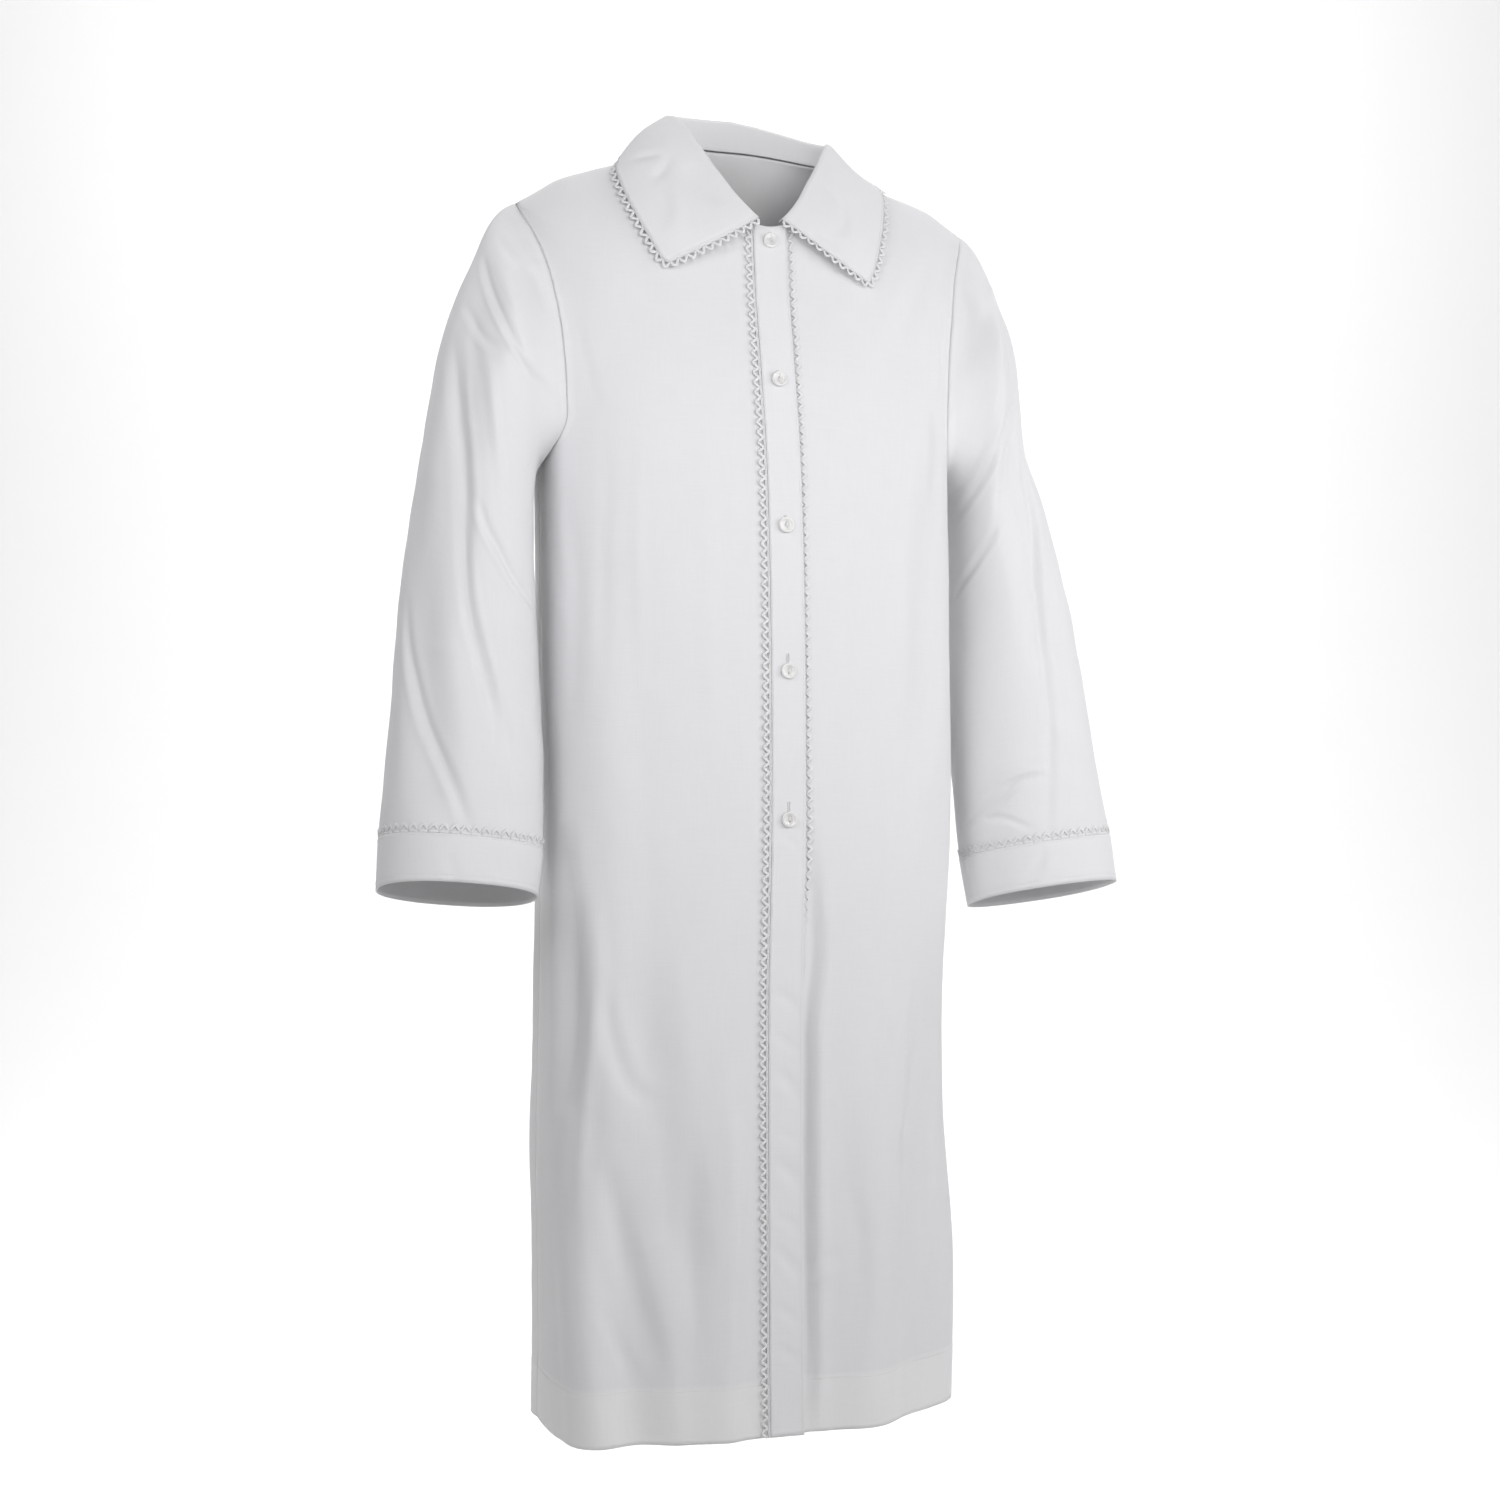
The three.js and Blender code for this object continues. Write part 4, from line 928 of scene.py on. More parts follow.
def collar_station(side, turn):
    """The stand rises inside the neck seam, folds over and falls to its edge on the shoulders."""
    neck = neck_point(side * turn)
    stand = read(COLLAR, "stand", turn) - (read(COLLAR, "lower", turn) if side > 0 else 0)
    bow = read(COLLAR, "left_bow" if side > 0 else "bow", turn)
    inward = unit(neck * (-1, -1, 0))
    front_end = 1 - smoothstep(turn, COLLAR_FRONT, 40)
    base = neck + inward * STAND_INSET + (0, 0, 1 + front_end)
    forward = LEAVES_FORWARD * front_end
    fold = np.array([neck[0] * FOLD_WIDER, neck[1] + stand / 4 - forward, neck[2] + stand])
    own = "left_" if side > 0 else ""
    down = read(COLLAR, f"{own}down", turn)
    along = float(np.clip(read(COLLAR, f"{own}along", turn), 0, 2))
    on_cloth = on_yoke(side, along, down)
    off = on_yoke(side, along, down + 0.05) - on_cloth
    way = on_yoke(side, max(along - 0.02, 0), down) - on_yoke(side, min(along + 0.02, 2), down)
    outward = unit(np.cross(off, way)) * -side
    edge = on_cloth + outward * COLLAR_CLEAR
    radius = min(FOLD_RADIUS, 0.45 * np.linalg.norm(base - fold))
    before = fold + unit(base - fold) * radius
    after = fold + unit(edge - fold) * radius
    top = fold / 2 + before / 4 + after / 4
    fall = []
    for share in (0.25, 0.5, 0.75):
        hump = math.sin(math.pi * share)
        sag = unit(off) * COLLAR_SAG * front_end
        fall.append(lerp(after, edge, share) + outward * bow * hump + sag * hump)
    whole = curve_through([base, before, top, after, *fall, edge], LINE_POINTS)
    at_top = np.argmin(np.linalg.norm(whole - top, axis=1))
    picks = np.concatenate([
        np.linspace(0, at_top, STAND_POINTS, endpoint=False),
        np.linspace(at_top, LINE_POINTS - 1, FALL_POINTS),
    ])
    return whole[np.round(picks).astype(int)]


def round_corner(grid, first):
    """Rounds the corner of a leaf: its front edge meets the fall's edge at the last point."""
    work = grid if first else grid[::-1]
    last = work.shape[1] - 1
    step_a = np.linalg.norm(work[CORNER_STEPS, last] - work[0, last]) / CORNER_STEPS
    step_b = np.linalg.norm(work[0, last] - work[0, last - CORNER_STEPS]) / CORNER_STEPS
    s, c = np.meshgrid(np.arange(work.shape[0]), np.arange(last + 1), indexing="ij")
    x = np.clip(1 - s * step_a / CORNER_RADIUS, 0, 1)
    y = np.clip(1 - (last - c) * step_b / CORNER_RADIUS, 0, 1)
    inside = (x > 0) & (y > 0)
    a = CORNER_RADIUS * (1 - x * np.sqrt(1 - y**2 / 2))
    b = CORNER_RADIUS * (1 - y * np.sqrt(1 - x**2 / 2))
    rounded = work.copy()
    rounded[inside] = pick(work, a / step_a, last - b / step_b)[inside]
    return rounded if first else rounded[::-1]


# Places are (distance from the centre back, distance from the fold). The wearer's left is positive.
COLLAR_CREASES = (
    ([(-165, 70), (-174, 54), (-182, 36)], 7, -2.0, 0.3, 0.4),
    ([(-184, 32), (-197, 48), (-199, 64)], 7, -2.0, 0.3),
    ([(-200, 20), (-226, 27), (-254, 20)], 14, -2.2),
    ([(-208, 48), (-240, 62), (-264, 86)], 10, 1.5),
    ([(204, 30), (214, 43), (232, 47), (250, 43)], 9, -2.2, 0.2, 0.3),
    ([(254, 22), (256, 40), (251, 62)], 10, -1.6),
    ([(203, 14), (206, 26), (210, 36)], 5, -1.4, 0.2),
    ([(214, 62), (232, 70), (246, 68)], 10, 1.0),
    ([(-62, 34), (-20, 40), (32, 33)], 13, -1.5),
    ([(88, 18), (110, 40), (119, 62)], 9, -1.5, 0.2),
    ([(-122, 22), (-113, 44), (-120, 64)], 10, 1.4, 0.1),
    ([(48, 50), (70, 58), (92, 70)], 9, 1.2, 0.1),
)


def collar_form():
    """The collar from the right leaf's front edge round the neck to the left leaf's."""
    lines = []
    for i in range(-COLLAR_STATIONS, COLLAR_STATIONS + 1):
        share = 1 - abs(i) / COLLAR_STATIONS
        lines.append(collar_station(-1 if i < 0 else 1, lerp(COLLAR_FRONT, 180, share**0.9)))
    grid = round_corner(round_corner(np.array(lines), True), False)
    middle = STAND_POINTS + FALL_POINTS // 2
    along = along_rows(grid[None, :, middle])[0]
    down = along_rows(grid)
    down = down - down[:, STAND_POINTS : STAND_POINTS + 1]
    around = (along - along[COLLAR_STATIONS])[:, None] + 0 * down
    height = creased(around, down, COLLAR_CREASES) + 0.3 * waves(around, down, 50, 41)
    height *= smoothstep(down, 3, 14)
    return grid + normals_of(grid, -1) * height[..., None]


collar = collar_form()
collar_out = normals_of(collar, -1)

# ---------------- materials


def linear(code):
    """An sRGB hex colour as linear light."""
    parts = [int(code[i : i + 2], 16) / 255 for i in (1, 3, 5)]
    return tuple(c / 12.92 if c <= 0.04045 else ((c + 0.055) / 1.055) ** 2.4 for c in parts) + (1.0,)


def node(tree, kind, settings=None, plugs=None):
    """Adds a node with its settings, and gives each named or numbered input a value or a link."""
    made = tree.nodes.new(kind)
    for name, value in (settings or {}).items():
        setattr(made, name, value)
    for name, value in (plugs or {}).items():
        if isinstance(value, bpy.types.NodeSocket):
            tree.links.new(value, made.inputs[name])
        else:
            made.inputs[name].default_value = value
    return made


def new_material(name, roughness, **shader):
    """A material with its shader, on which plain numbers are set on the shader's own inputs."""
    material = bpy.data.materials.new(name)
    material.use_nodes = True
    tree = material.node_tree
    tree.nodes.clear()
    plugs = {"Roughness": roughness}
    plugs.update({key.replace("_", " "): value for key, value in shader.items()})
    bsdf = node(tree, "ShaderNodeBsdfPrincipled", None, plugs)
    node(tree, "ShaderNodeOutputMaterial", None, {"Surface": bsdf.outputs["BSDF"]})
    return material, tree, bsdf


COLOUR_MIX = {"data_type": "RGBA"}
SLUBS = (30, 900)  # per metre along and across the yarn: a slub is about 33 mm long and 1 mm wide


def cotton_cloth(name, single, doubled, weave_mm, weave_depth):
    """Plain-woven cotton: single where the light goes through it, whiter where it lies double."""
    material, tree, bsdf = new_material(
        name, 0.82, Sheen_Weight=0.18, Sheen_Roughness=0.45, Specular_IOR_Level=0.3
    )
    flat = node(tree, "ShaderNodeUVMap", {"uv_map": "flat"}).outputs["UV"]
    double = node(tree, "ShaderNodeAttribute", {"attribute_name": "double"}).outputs["Fac"]
    tones = {0: double, 6: linear(single), 7: linear(doubled)}
    cloth = node(tree, "ShaderNodeMix", COLOUR_MIX, tones).outputs[2]
    streaks = []
    for stretch in (SLUBS, SLUBS[::-1]):
        yarn = {"Vector": flat, "Scale": (*stretch, 1)}
        slubs = node(tree, "ShaderNodeMapping", {}, yarn).outputs["Vector"]
        noise = {"Vector": slubs, "Scale": 1.0, "Detail": 2.0}
        streaks.append(node(tree, "ShaderNodeTexNoise", {}, noise).outputs[0])
    slub = node(tree, "ShaderNodeMath", {"operation": "ADD"}, dict(enumerate(streaks))).outputs[0]
    faint = {"Value": slub, "From Min": 0.6, "From Max": 1.4, "To Min": 0.965, "To Max": 1.0}
    tone = node(tree, "ShaderNodeMapRange", {}, faint).outputs[0]
    grey = node(tree, "ShaderNodeCombineColor", {}, {0: tone, 1: tone, 2: tone}).outputs[0]
    shade = node(tree, "ShaderNodeMix", {**COLOUR_MIX, "blend_type": "MULTIPLY"}, {0: 1.0, 6: cloth, 7: grey})
    tree.links.new(shade.outputs[2], bsdf.inputs["Base Color"])
    # A wave node's bands are 2 pi / 20 of its unit apart, so this scale gives one thread each weave_mm.
    pitch = 2 * math.pi / 20 / (weave_mm / 1000)
    wave = {"Vector": flat, "Scale": pitch, "Distortion": 0.6, "Detail": 1.0, "Detail Scale": 0.1}
    threads = [
        node(tree, "ShaderNodeTexWave", {"bands_direction": way}, wave).outputs["Fac"] for way in ("X", "Y")
    ]
    weave = node(tree, "ShaderNodeMath", {"operation": "MAXIMUM"}, dict(enumerate(threads))).outputs[0]
    raised = {0: slub, 1: 1.2, 2: weave}
    relief = node(tree, "ShaderNodeMath", {"operation": "MULTIPLY_ADD"}, raised).outputs[0]
    depth = {"Strength": weave_depth, "Distance": 0.00012, "Height": relief}
    bump = node(tree, "ShaderNodeBump", {}, depth).outputs["Normal"]
    tree.links.new(bump, bsdf.inputs["Normal"])
    return material


# Cotton batiste, plain-woven of fine bleached yarn. It looks matt and a little grey where it is single.
# Its threads are 0.28 mm apart, and they are drawn 0.8 mm apart so that they show.
batiste = cotton_cloth("bleached_cotton_batiste", "#e9e9ea", "#eeeeee", 0.8, 0.35)
# The same batiste lying double and pressed flat: whiter, because less of the dark inside comes through.
pressed_batiste = cotton_cloth("pressed_double_batiste", "#ebebec", "#efefef", 0.8, 0.3)


def cotton_thread(name, colour, twist_mm, depth):
    """Twisted cotton thread, with a fine nap that softens its light."""
    material, tree, bsdf = new_material(
        name, 0.78, Sheen_Weight=0.2, Sheen_Roughness=0.5, Specular_IOR_Level=0.35
    )
    place = node(tree, "ShaderNodeTexCoord").outputs["Object"]
    twist = {"Vector": place, "Scale": 1000 / twist_mm, "Detail": 3.0}
    fibre = node(tree, "ShaderNodeTexNoise", {}, twist).outputs[0]
    wide = node(tree, "ShaderNodeTexNoise", {}, {"Vector": place, "Scale": 60.0, "Detail": 1.0}).outputs[0]
    tones = {0: wide, 6: linear(colour[0]), 7: linear(colour[1])}
    tone = node(tree, "ShaderNodeMix", COLOUR_MIX, tones).outputs[2]
    tree.links.new(tone, bsdf.inputs["Base Color"])
    relief = {"Strength": depth, "Distance": 0.0002, "Height": fibre}
    bump = node(tree, "ShaderNodeBump", {}, relief).outputs["Normal"]
    tree.links.new(bump, bsdf.inputs["Normal"])
    return material


# Torchon-type cotton lace, made on a machine from soft two-ply thread: rounded, matt and bright.
lace_cotton = cotton_thread("machine_made_cotton_lace", ("#f6f6f6", "#fbfbfb"), 0.5, 0.2)
# Polished cotton sewing thread: a little glossier and greyer than the cloth, so that stitches show.
sewing_thread = cotton_thread("cotton_sewing_thread", ("#e2e1e2", "#efeeef"), 0.35, 0.4)


def pearly_resin():
    """Cast polyester resin with pearl pigment, turned and polished: glossy, with soft cloudy bands."""
    shine = {"IOR": 1.54, "Coat_Weight": 0.35, "Coat_Roughness": 0.08, "Specular_IOR_Level": 0.5}
    material, tree, bsdf = new_material("polished_pearl_polyester", 0.22, **shine)
    place = node(tree, "ShaderNodeTexCoord").outputs["Object"]
    # The clouds of pigment are about 5 mm across, a third of the button.
    pigment = {"Vector": place, "Scale": 200.0, "Detail": 2.0, "Distortion": 1.4}
    clouds = node(tree, "ShaderNodeTexNoise", {}, pigment).outputs[0]
    tones = {0: clouds, 6: linear("#e0dfdc"), 7: linear("#f5f4f2")}
    tone = node(tree, "ShaderNodeMix", COLOUR_MIX, tones).outputs[2]
    tree.links.new(tone, bsdf.inputs["Base Color"])
    gloss = node(tree, "ShaderNodeMapRange", {}, {"Value": clouds, "To Min": 0.16, "To Max": 0.3}).outputs[0]
    tree.links.new(gloss, bsdf.inputs["Roughness"])
    return material


pearl = pearly_resin()

# ---------------- meshes


# The thickness of each piece's cloth. Real batiste is thinner: this much keeps the shells sound.
SINGLE_WALL, BAND_WALL, CUFF_WALL = 0.5, 0.9, 1.2
CUFF_FACE = 0.7  # a cuff's outer face stands this far off its form


def shell(name, grid, material, thick, facing, closed=False, double=0.0, flat=None):
    """A piece of cloth: its outer face is the grid and its thickness lies behind it.

    double is 1 where the cloth lies double. flat gives every point its place on the uncut cloth, in mm.
    """
    rows, columns = grid.shape[:2]
    double = np.broadcast_to(np.asarray(double, float), (rows, columns))
    if flat is None:
        across = along_rows(np.concatenate([grid, grid[:, :1]], 1) if closed else grid)
        down = np.linalg.norm(np.diff(grid, axis=0), axis=-1).mean(1)
        drop = np.concatenate([[0], np.cumsum(down)])[:, None] + 0 * across
        flat = np.stack([across, drop], -1)
    index = np.arange(rows * columns).reshape(rows, columns)
    if closed:
        index = np.concatenate([index, index[:, :1]], 1)
    corners, places = corners_of(index), corners_of(flat)
    if facing < 0:
        corners, places = corners[::-1], places[::-1]
    faces = np.stack(corners, -1).reshape(-1, 4)
    mesh = bpy.data.meshes.new(name)
    mesh.from_pydata(list(map(tuple, grid.reshape(-1, 3) / 1000)), [], faces.tolist())
    mesh.shade_smooth()
    uv = mesh.uv_layers.new(name="flat")
    uv.data.foreach_set("uv", np.stack(places, -2).reshape(-1) / 1000)
    attribute = mesh.attributes.new("double", "FLOAT", "POINT")
    attribute.data.foreach_set("value", double.reshape(-1).astype(np.float32))
    mesh.materials.append(material)
    piece = placed(name, mesh)
    wall = piece.modifiers.new("wall", "SOLIDIFY")
    wall.thickness = thick / 1000
    wall.offset = -1
    return piece


SEAM_EDGE = 9  # the turned edge of a seam reaches this far in
SEAM_DOUBLE = 0.6  # it whitens the cloth over it less than a hem does


def seam_strip(inside):
    """Doubled cloth beside a seam. inside: the distance from the seam."""
    return SEAM_DOUBLE * (1 - smoothstep(inside, SEAM_EDGE - 1.5, SEAM_EDGE + 1.5))


def hem_strip(v):
    """Doubled cloth over the turned-up hem."""
    return smoothstep(HEM_DEPTH - (v[-1:] - v), -0.6, 0.6)


pieces = {}


def panel(name, grid, side, u, v, inside):
    """A front or the back, whitened over its hem and beside its seams."""
    double = np.maximum(hem_strip(v), seam_strip(inside))
    pieces[name] = shell(name, grid, batiste, SINGLE_WALL, side, double=double, flat=np.stack([u, v], -1))


def add_panels():
    for side, name in ((-1, "front_right"), (1, "front_left")):
        u, v = flat_places(side, "front")
        panel(name, body[side]["front"], side, u, v, u[:, -1:] - u)
    left, right = body[1]["back"], body[-1]["back"]
    (lu, lv), (ru, rv) = flat_places(1, "back"), flat_places(-1, "back")
    u = np.concatenate([lu[:, ::-1], -ru[:, 1:]], 1)
    v = np.concatenate([lv[:, ::-1], rv[:, 1:]], 1)
    whole = np.concatenate([left[:, ::-1], right[:, 1:]], 1)
    panel("back", whole, 1, u, v, np.minimum(u[:, :1] - u, u - u[:, -1:]))


def add_arm(side, hand):
    """A sleeve, whitened beside the armhole's seam, and its cuff."""
    double = seam_strip(along_rows(np.swapaxes(sleeves[side], 0, 1)).T)
    name, cuff_name = f"sleeve_{hand}", f"cuff_{hand}"
    pieces[name] = shell(name, sleeves[side], batiste, SINGLE_WALL, -side, closed=True, double=double)
    face = cuffs[side] + normals_of(cuffs[side], side, closed=True) * CUFF_FACE
    pieces[cuff_name] = shell(cuff_name, face, pressed_batiste, CUFF_WALL, -side, closed=True)


add_panels()
add_arm(-1, "right")
add_arm(1, "left")
for name, grid, wall, facing in (
    ("placket_right", bands[-1], BAND_WALL, 1),
    ("placket_left", bands[1], BAND_WALL, -1),
    ("collar", collar + collar_out * COLLAR_FACE, COLLAR_WALL, 1),
):
    pieces[name] = shell(name, grid, pressed_batiste, wall, facing)

# ---------------- repeats along a strip: lace and stitches


SAME_PLACE = 0.00002  # metres: points nearer than this become one


def repeat_tree():
    """Bends copies of one shape along a strip: x runs along it, y across it and z out of it."""
    tree = bpy.data.node_groups.new("repeat_along_strip", "GeometryNodeTree")
    sockets = {
        "Strip": "Geometry",
        "Repeat": "Object",
        "Count": "Int",
        "Pitch": "Float",
        "Start": "Float",
        "Across": "Float",
        "Lift": "Float",
        "Material": "Material",
    }
    for name, kind in sockets.items():
        tree.interface.new_socket(name, in_out="INPUT", socket_type=f"NodeSocket{kind}")
    tree.interface.new_socket("Repeats", in_out="OUTPUT", socket_type="NodeSocketGeometry")
    given = node(tree, "NodeGroupInput").outputs
    shape = node(tree, "GeometryNodeObjectInfo", {}, {"Object": given["Repeat"]}).outputs["Geometry"]
    step = node(tree, "ShaderNodeCombineXYZ", {}, {"X": given["Pitch"]}).outputs[0]
    first = node(tree, "ShaderNodeCombineXYZ", {}, {"X": given["Start"], "Y": given["Across"]}).outputs[0]
    steps = {"Count": given["Count"], "Start Location": first, "Offset": step}
    line = node(tree, "GeometryNodeMeshLine", {}, steps).outputs[0]
    copies = node(tree, "GeometryNodeInstanceOnPoints", {}, {"Points": line, "Instance": shape}).outputs[0]
    row = node(tree, "GeometryNodeRealizeInstances", {}, {"Geometry": copies}).outputs[0]
    place = node(tree, "GeometryNodeInputPosition").outputs[0]
    own = node(tree, "ShaderNodeSeparateXYZ", {}, {"Vector": place}).outputs
    spot = node(tree, "ShaderNodeCombineXYZ", {}, {"X": own["X"], "Y": own["Y"]}).outputs[0]
    vector = {"data_type": "FLOAT_VECTOR"}
    flat = node(tree, "GeometryNodeInputNamedAttribute", vector, {"Name": "flat_place"}).outputs[0]
    out = node(tree, "GeometryNodeInputNamedAttribute", vector, {"Name": "out"}).outputs[0]
    surface = {0: given["Strip"], 2: flat, 3: spot}
    base = node(tree, "GeometryNodeSampleUVSurface", vector, {**surface, 1: place}).outputs[0]
    up = node(tree, "GeometryNodeSampleUVSurface", vector, {**surface, 1: out}).outputs[0]
    high = node(tree, "ShaderNodeMath", {"operation": "ADD"}, {0: own["Z"], 1: given["Lift"]}).outputs[0]
    rise = node(tree, "ShaderNodeVectorMath", {"operation": "SCALE"}, {0: up, "Scale": high}).outputs[0]
    bent = node(tree, "ShaderNodeVectorMath", {"operation": "ADD"}, {0: base, 1: rise}).outputs[0]
    laid = node(tree, "GeometryNodeSetPosition", {}, {"Geometry": row, "Position": bent}).outputs[0]
    touching = {"Geometry": laid, "Distance": SAME_PLACE}
    merged_row = node(tree, "GeometryNodeMergeByDistance", {}, touching).outputs[0]
    whole = node(tree, "GeometryNodeRealizeInstances", {}, {"Geometry": merged_row}).outputs[0]
    dressed_in = node(tree, "GeometryNodeSetMaterial", {}, {"Geometry": whole, "Material": given["Material"]})
    node(tree, "NodeGroupOutput", {}, {"Repeats": dressed_in.outputs[0]})
    return tree


REPEAT_TREE = repeat_tree()


def plain_object(name, points, faces):
    """An object of points in millimetres."""
    mesh = bpy.data.meshes.new(name)
    mesh.from_pydata([tuple(p) for p in np.asarray(points) / 1000], [], faces)
    mesh.shade_smooth()
    return placed(name, mesh)


def tube(path, radius, sides, across):
    """A closed round tube along a path. across: about which way lies beside the path."""
    path = np.asarray(path, float)
    ahead = unit(np.gradient(path, axis=0))
    side = unit(np.cross(np.cross(ahead, across), ahead) + 1e-9)
    up = np.cross(ahead, side)
    turns = 2 * np.pi * np.arange(sides) / sides
    rings = path[:, None] + side[:, None] * (radius * np.cos(turns))[:, None]
    rings = rings + up[:, None] * (radius * np.sin(turns))[:, None]
    last = (len(path) - 1) * sides
    ends = [tuple(range(sides))[::-1], tuple(range(last, last + sides))]
    return rings.reshape(-1, 3), ring_faces(len(path), sides) + ends


def merged(*shapes):
    """One shape from several, each as its points and faces."""
    points, faces, count = [], [], 0
    for some, own in shapes:
        points.append(some)
        faces += [tuple(count + i for i in face) for face in own]
        count += len(some)
    return np.concatenate(points), faces


LACE_PITCH = 9.4  # length of one zigzag
LACE_CURL = 0.8  # how far the lace curls up at its free edge
LACE_FREE = 8.8  # the distance from foot to free edge at which it has curled so far
STRAND = ((1, 0.35), (0.72, 1), (-0.72, 1), (-1, 0.35), (0, 0))  # a flat strand's section, of 1 by 1
# The foot and the zigzag strand: where each lies across the lace, its half width and how high it stands.
FOOT_AT, FOOT_HALF, FOOT_HIGH = 1.3, 1.3, 0.35
ZIGZAG_AT, ZIGZAG_SWING, ZIGZAG_HALF, ZIGZAG_HIGH = 5.3, 2.3, 1.45, 0.6


def strand(line, half, high):
    """A flat-lying strand with open ends, which the next repeat carries on."""
    line = np.array(line, float)
    ahead = unit(np.gradient(line, axis=0))
    ahead[[0, -1]] = (1, 0)
    beside = np.stack([-ahead[:, 1], ahead[:, 0]], -1)
    section = np.array(STRAND)
    flat = line[:, None] + beside[:, None] * (section[:, 0] * half)[:, None]
    rise = np.broadcast_to(section[:, 1] * high, flat.shape[:2])[..., None]
    points = np.concatenate([flat, rise], -1)
    points[..., 2] += LACE_CURL * (points[..., 1] / LACE_FREE) ** 2
    return points.reshape(-1, 3), ring_faces(len(line), len(section))


def lace_repeat():
    """One repeat of the lace: a narrow foot and a zigzag strand that touches it once a repeat."""
    foot = [(LACE_PITCH * t, FOOT_AT) for t in (0, 0.33, 0.67, 1)]
    zigzag = []
    for t in (0, 0.09, 0.25, 0.41, 0.5, 0.59, 0.75, 0.91, 1):
        swing = -math.cos(2 * math.pi * t)
        zigzag.append((LACE_PITCH * t, ZIGZAG_AT + ZIGZAG_SWING * swing))
    strands = strand(foot, FOOT_HALF, FOOT_HIGH), strand(zigzag, ZIGZAG_HALF, ZIGZAG_HIGH)
    return plain_object("lace_repeat", *merged(*strands))


def stitch(name, length, radius, across=False):
    """One stitch: it comes up out of the cloth, lies on it and goes down again."""
    low, high = -radius, 0.6 * radius
    way = [(-length / 2, low), (-length / 3, high), (length / 3, high), (length / 2, low)]
    path = [(0, x, z) if across else (x, 0, z) for x, z in way]
    return plain_object(name, *tube(path, radius, 5, (1, 0, 0) if across else (0, 1, 0)))


LACE_REPEAT = lace_repeat()
STITCH = stitch("stitch", 2.3, 0.26)
BUTTONHOLE_STITCH = stitch("buttonhole_stitch", 1.5, 0.24, across=True)
STITCH_PITCH = 3.0
BUTTONHOLE_PITCH = 0.42
STITCH_HALF = 1.5  # half the width of the strip that a row of stitches lies on
STRIP_SHARES = (-0.3, 0, 0.25, 0.5, 0.75, 1, 1.3)  # a strip's columns: it reaches a little past its rails
trims = {}


def lengthened(rail):
    """A rail with one more step at each end."""
    return np.concatenate([[2 * rail[0] - rail[1]], rail, [2 * rail[-1] - rail[-2]]])


def run_on(rails, repeat, material, pitch, flat_width, across=0.0, lift=0.0, closed=False):
    """A row of repeats on the strip between two rails, which run beside each other.

    rails: the inner rail, the outer one, and which way is out. The strip is flat_width wide on its own flat
    pattern, across says where on it the repeats lie, and lift says how high over it. A closed one runs round
    and overlaps its own start, and any other runs on past its ends, so that no repeat leaves the strip.
    """
    inner, outer, out = (np.asarray(rail, float) for rail in rails)
    if closed:
        inner, outer, out = (np.concatenate([rail[-1:], rail, rail[:3]]) for rail in (inner, outer, out))
    middle = (inner + outer) / 2
    along = np.concatenate([[0], np.cumsum(np.linalg.norm(np.diff(middle, axis=0), axis=1))])
    if closed:
        along -= along[1]
        length = along[-3]
    else:
        length = along[-1]
        inner, outer, along = (lengthened(rail) for rail in (inner, outer, along))
        out = np.concatenate([out[:1], out, out[-1:]])
    shares = np.array(STRIP_SHARES)
    grid = inner[:, None] + (outer - inner)[:, None] * shares[:, None]
    rows, columns = grid.shape[:2]
    index = np.arange(rows * columns).reshape(rows, columns)
    a, b, c, d = corners_of(index)
    faces = np.stack([a, d, c, b], -1).reshape(-1, 4)
    strip = plain_object("strip", grid.reshape(-1, 3), faces.tolist())
    flat = point(along[:, None], shares * flat_width, 0).reshape(-1, 3) / 1000
    for label, values in (("flat_place", flat), ("out", np.repeat(out, columns, 0))):
        attribute = strip.data.attributes.new(label, "FLOAT_VECTOR", "POINT")
        attribute.data.foreach_set("vector", values.reshape(-1).astype(np.float32))
    count = max(int(round(length / pitch)), 1)
    own_pitch = length / count
    values = {
        "Repeat": repeat,
        "Count": count,
        "Pitch": own_pitch / 1000,
        "Start": (0 if repeat is LACE_REPEAT else own_pitch / 2) / 1000,
        "Across": across / 1000,
        "Lift": lift / 1000,
        "Material": material,
    }
    row = strip.modifiers.new("repeats", "NODES")
    row.node_group = REPEAT_TREE
    for item in REPEAT_TREE.interface.items_tree:
        if item.in_out == "INPUT" and item.name in values:
            row[item.identifier] = values[item.name]
    mesh = bpy.data.meshes.new_from_object(strip.evaluated_get(bpy.context.evaluated_depsgraph_get()))
    strip.modifiers.remove(row)
    bpy.data.objects.remove(strip)
    return mesh


def spots_of(mesh):
    """The points of a mesh, in millimetres."""
    spots = np.empty(3 * len(mesh.vertices), np.float32)
    mesh.vertices.foreach_get("co", spots)
    return spots.reshape(-1, 3) * 1000


def keep(name, meshes):
    """One piece from several meshes, with the ends of its strands closed."""
    shapes = [(spots_of(mesh), [tuple(face.vertices) for face in mesh.polygons]) for mesh in meshes]
    whole = plain_object(name, *merged(*shapes))
    form = bmesh.new()
    form.from_mesh(whole.data)
    bmesh.ops.holes_fill(form, edges=[edge for edge in form.edges if edge.is_boundary], sides=2 * len(STRAND))
    bmesh.ops.recalc_face_normals(form, faces=form.faces)
    form.to_mesh(whole.data)
    form.free()
    whole.data.materials.append(meshes[0].materials[0])
    return whole


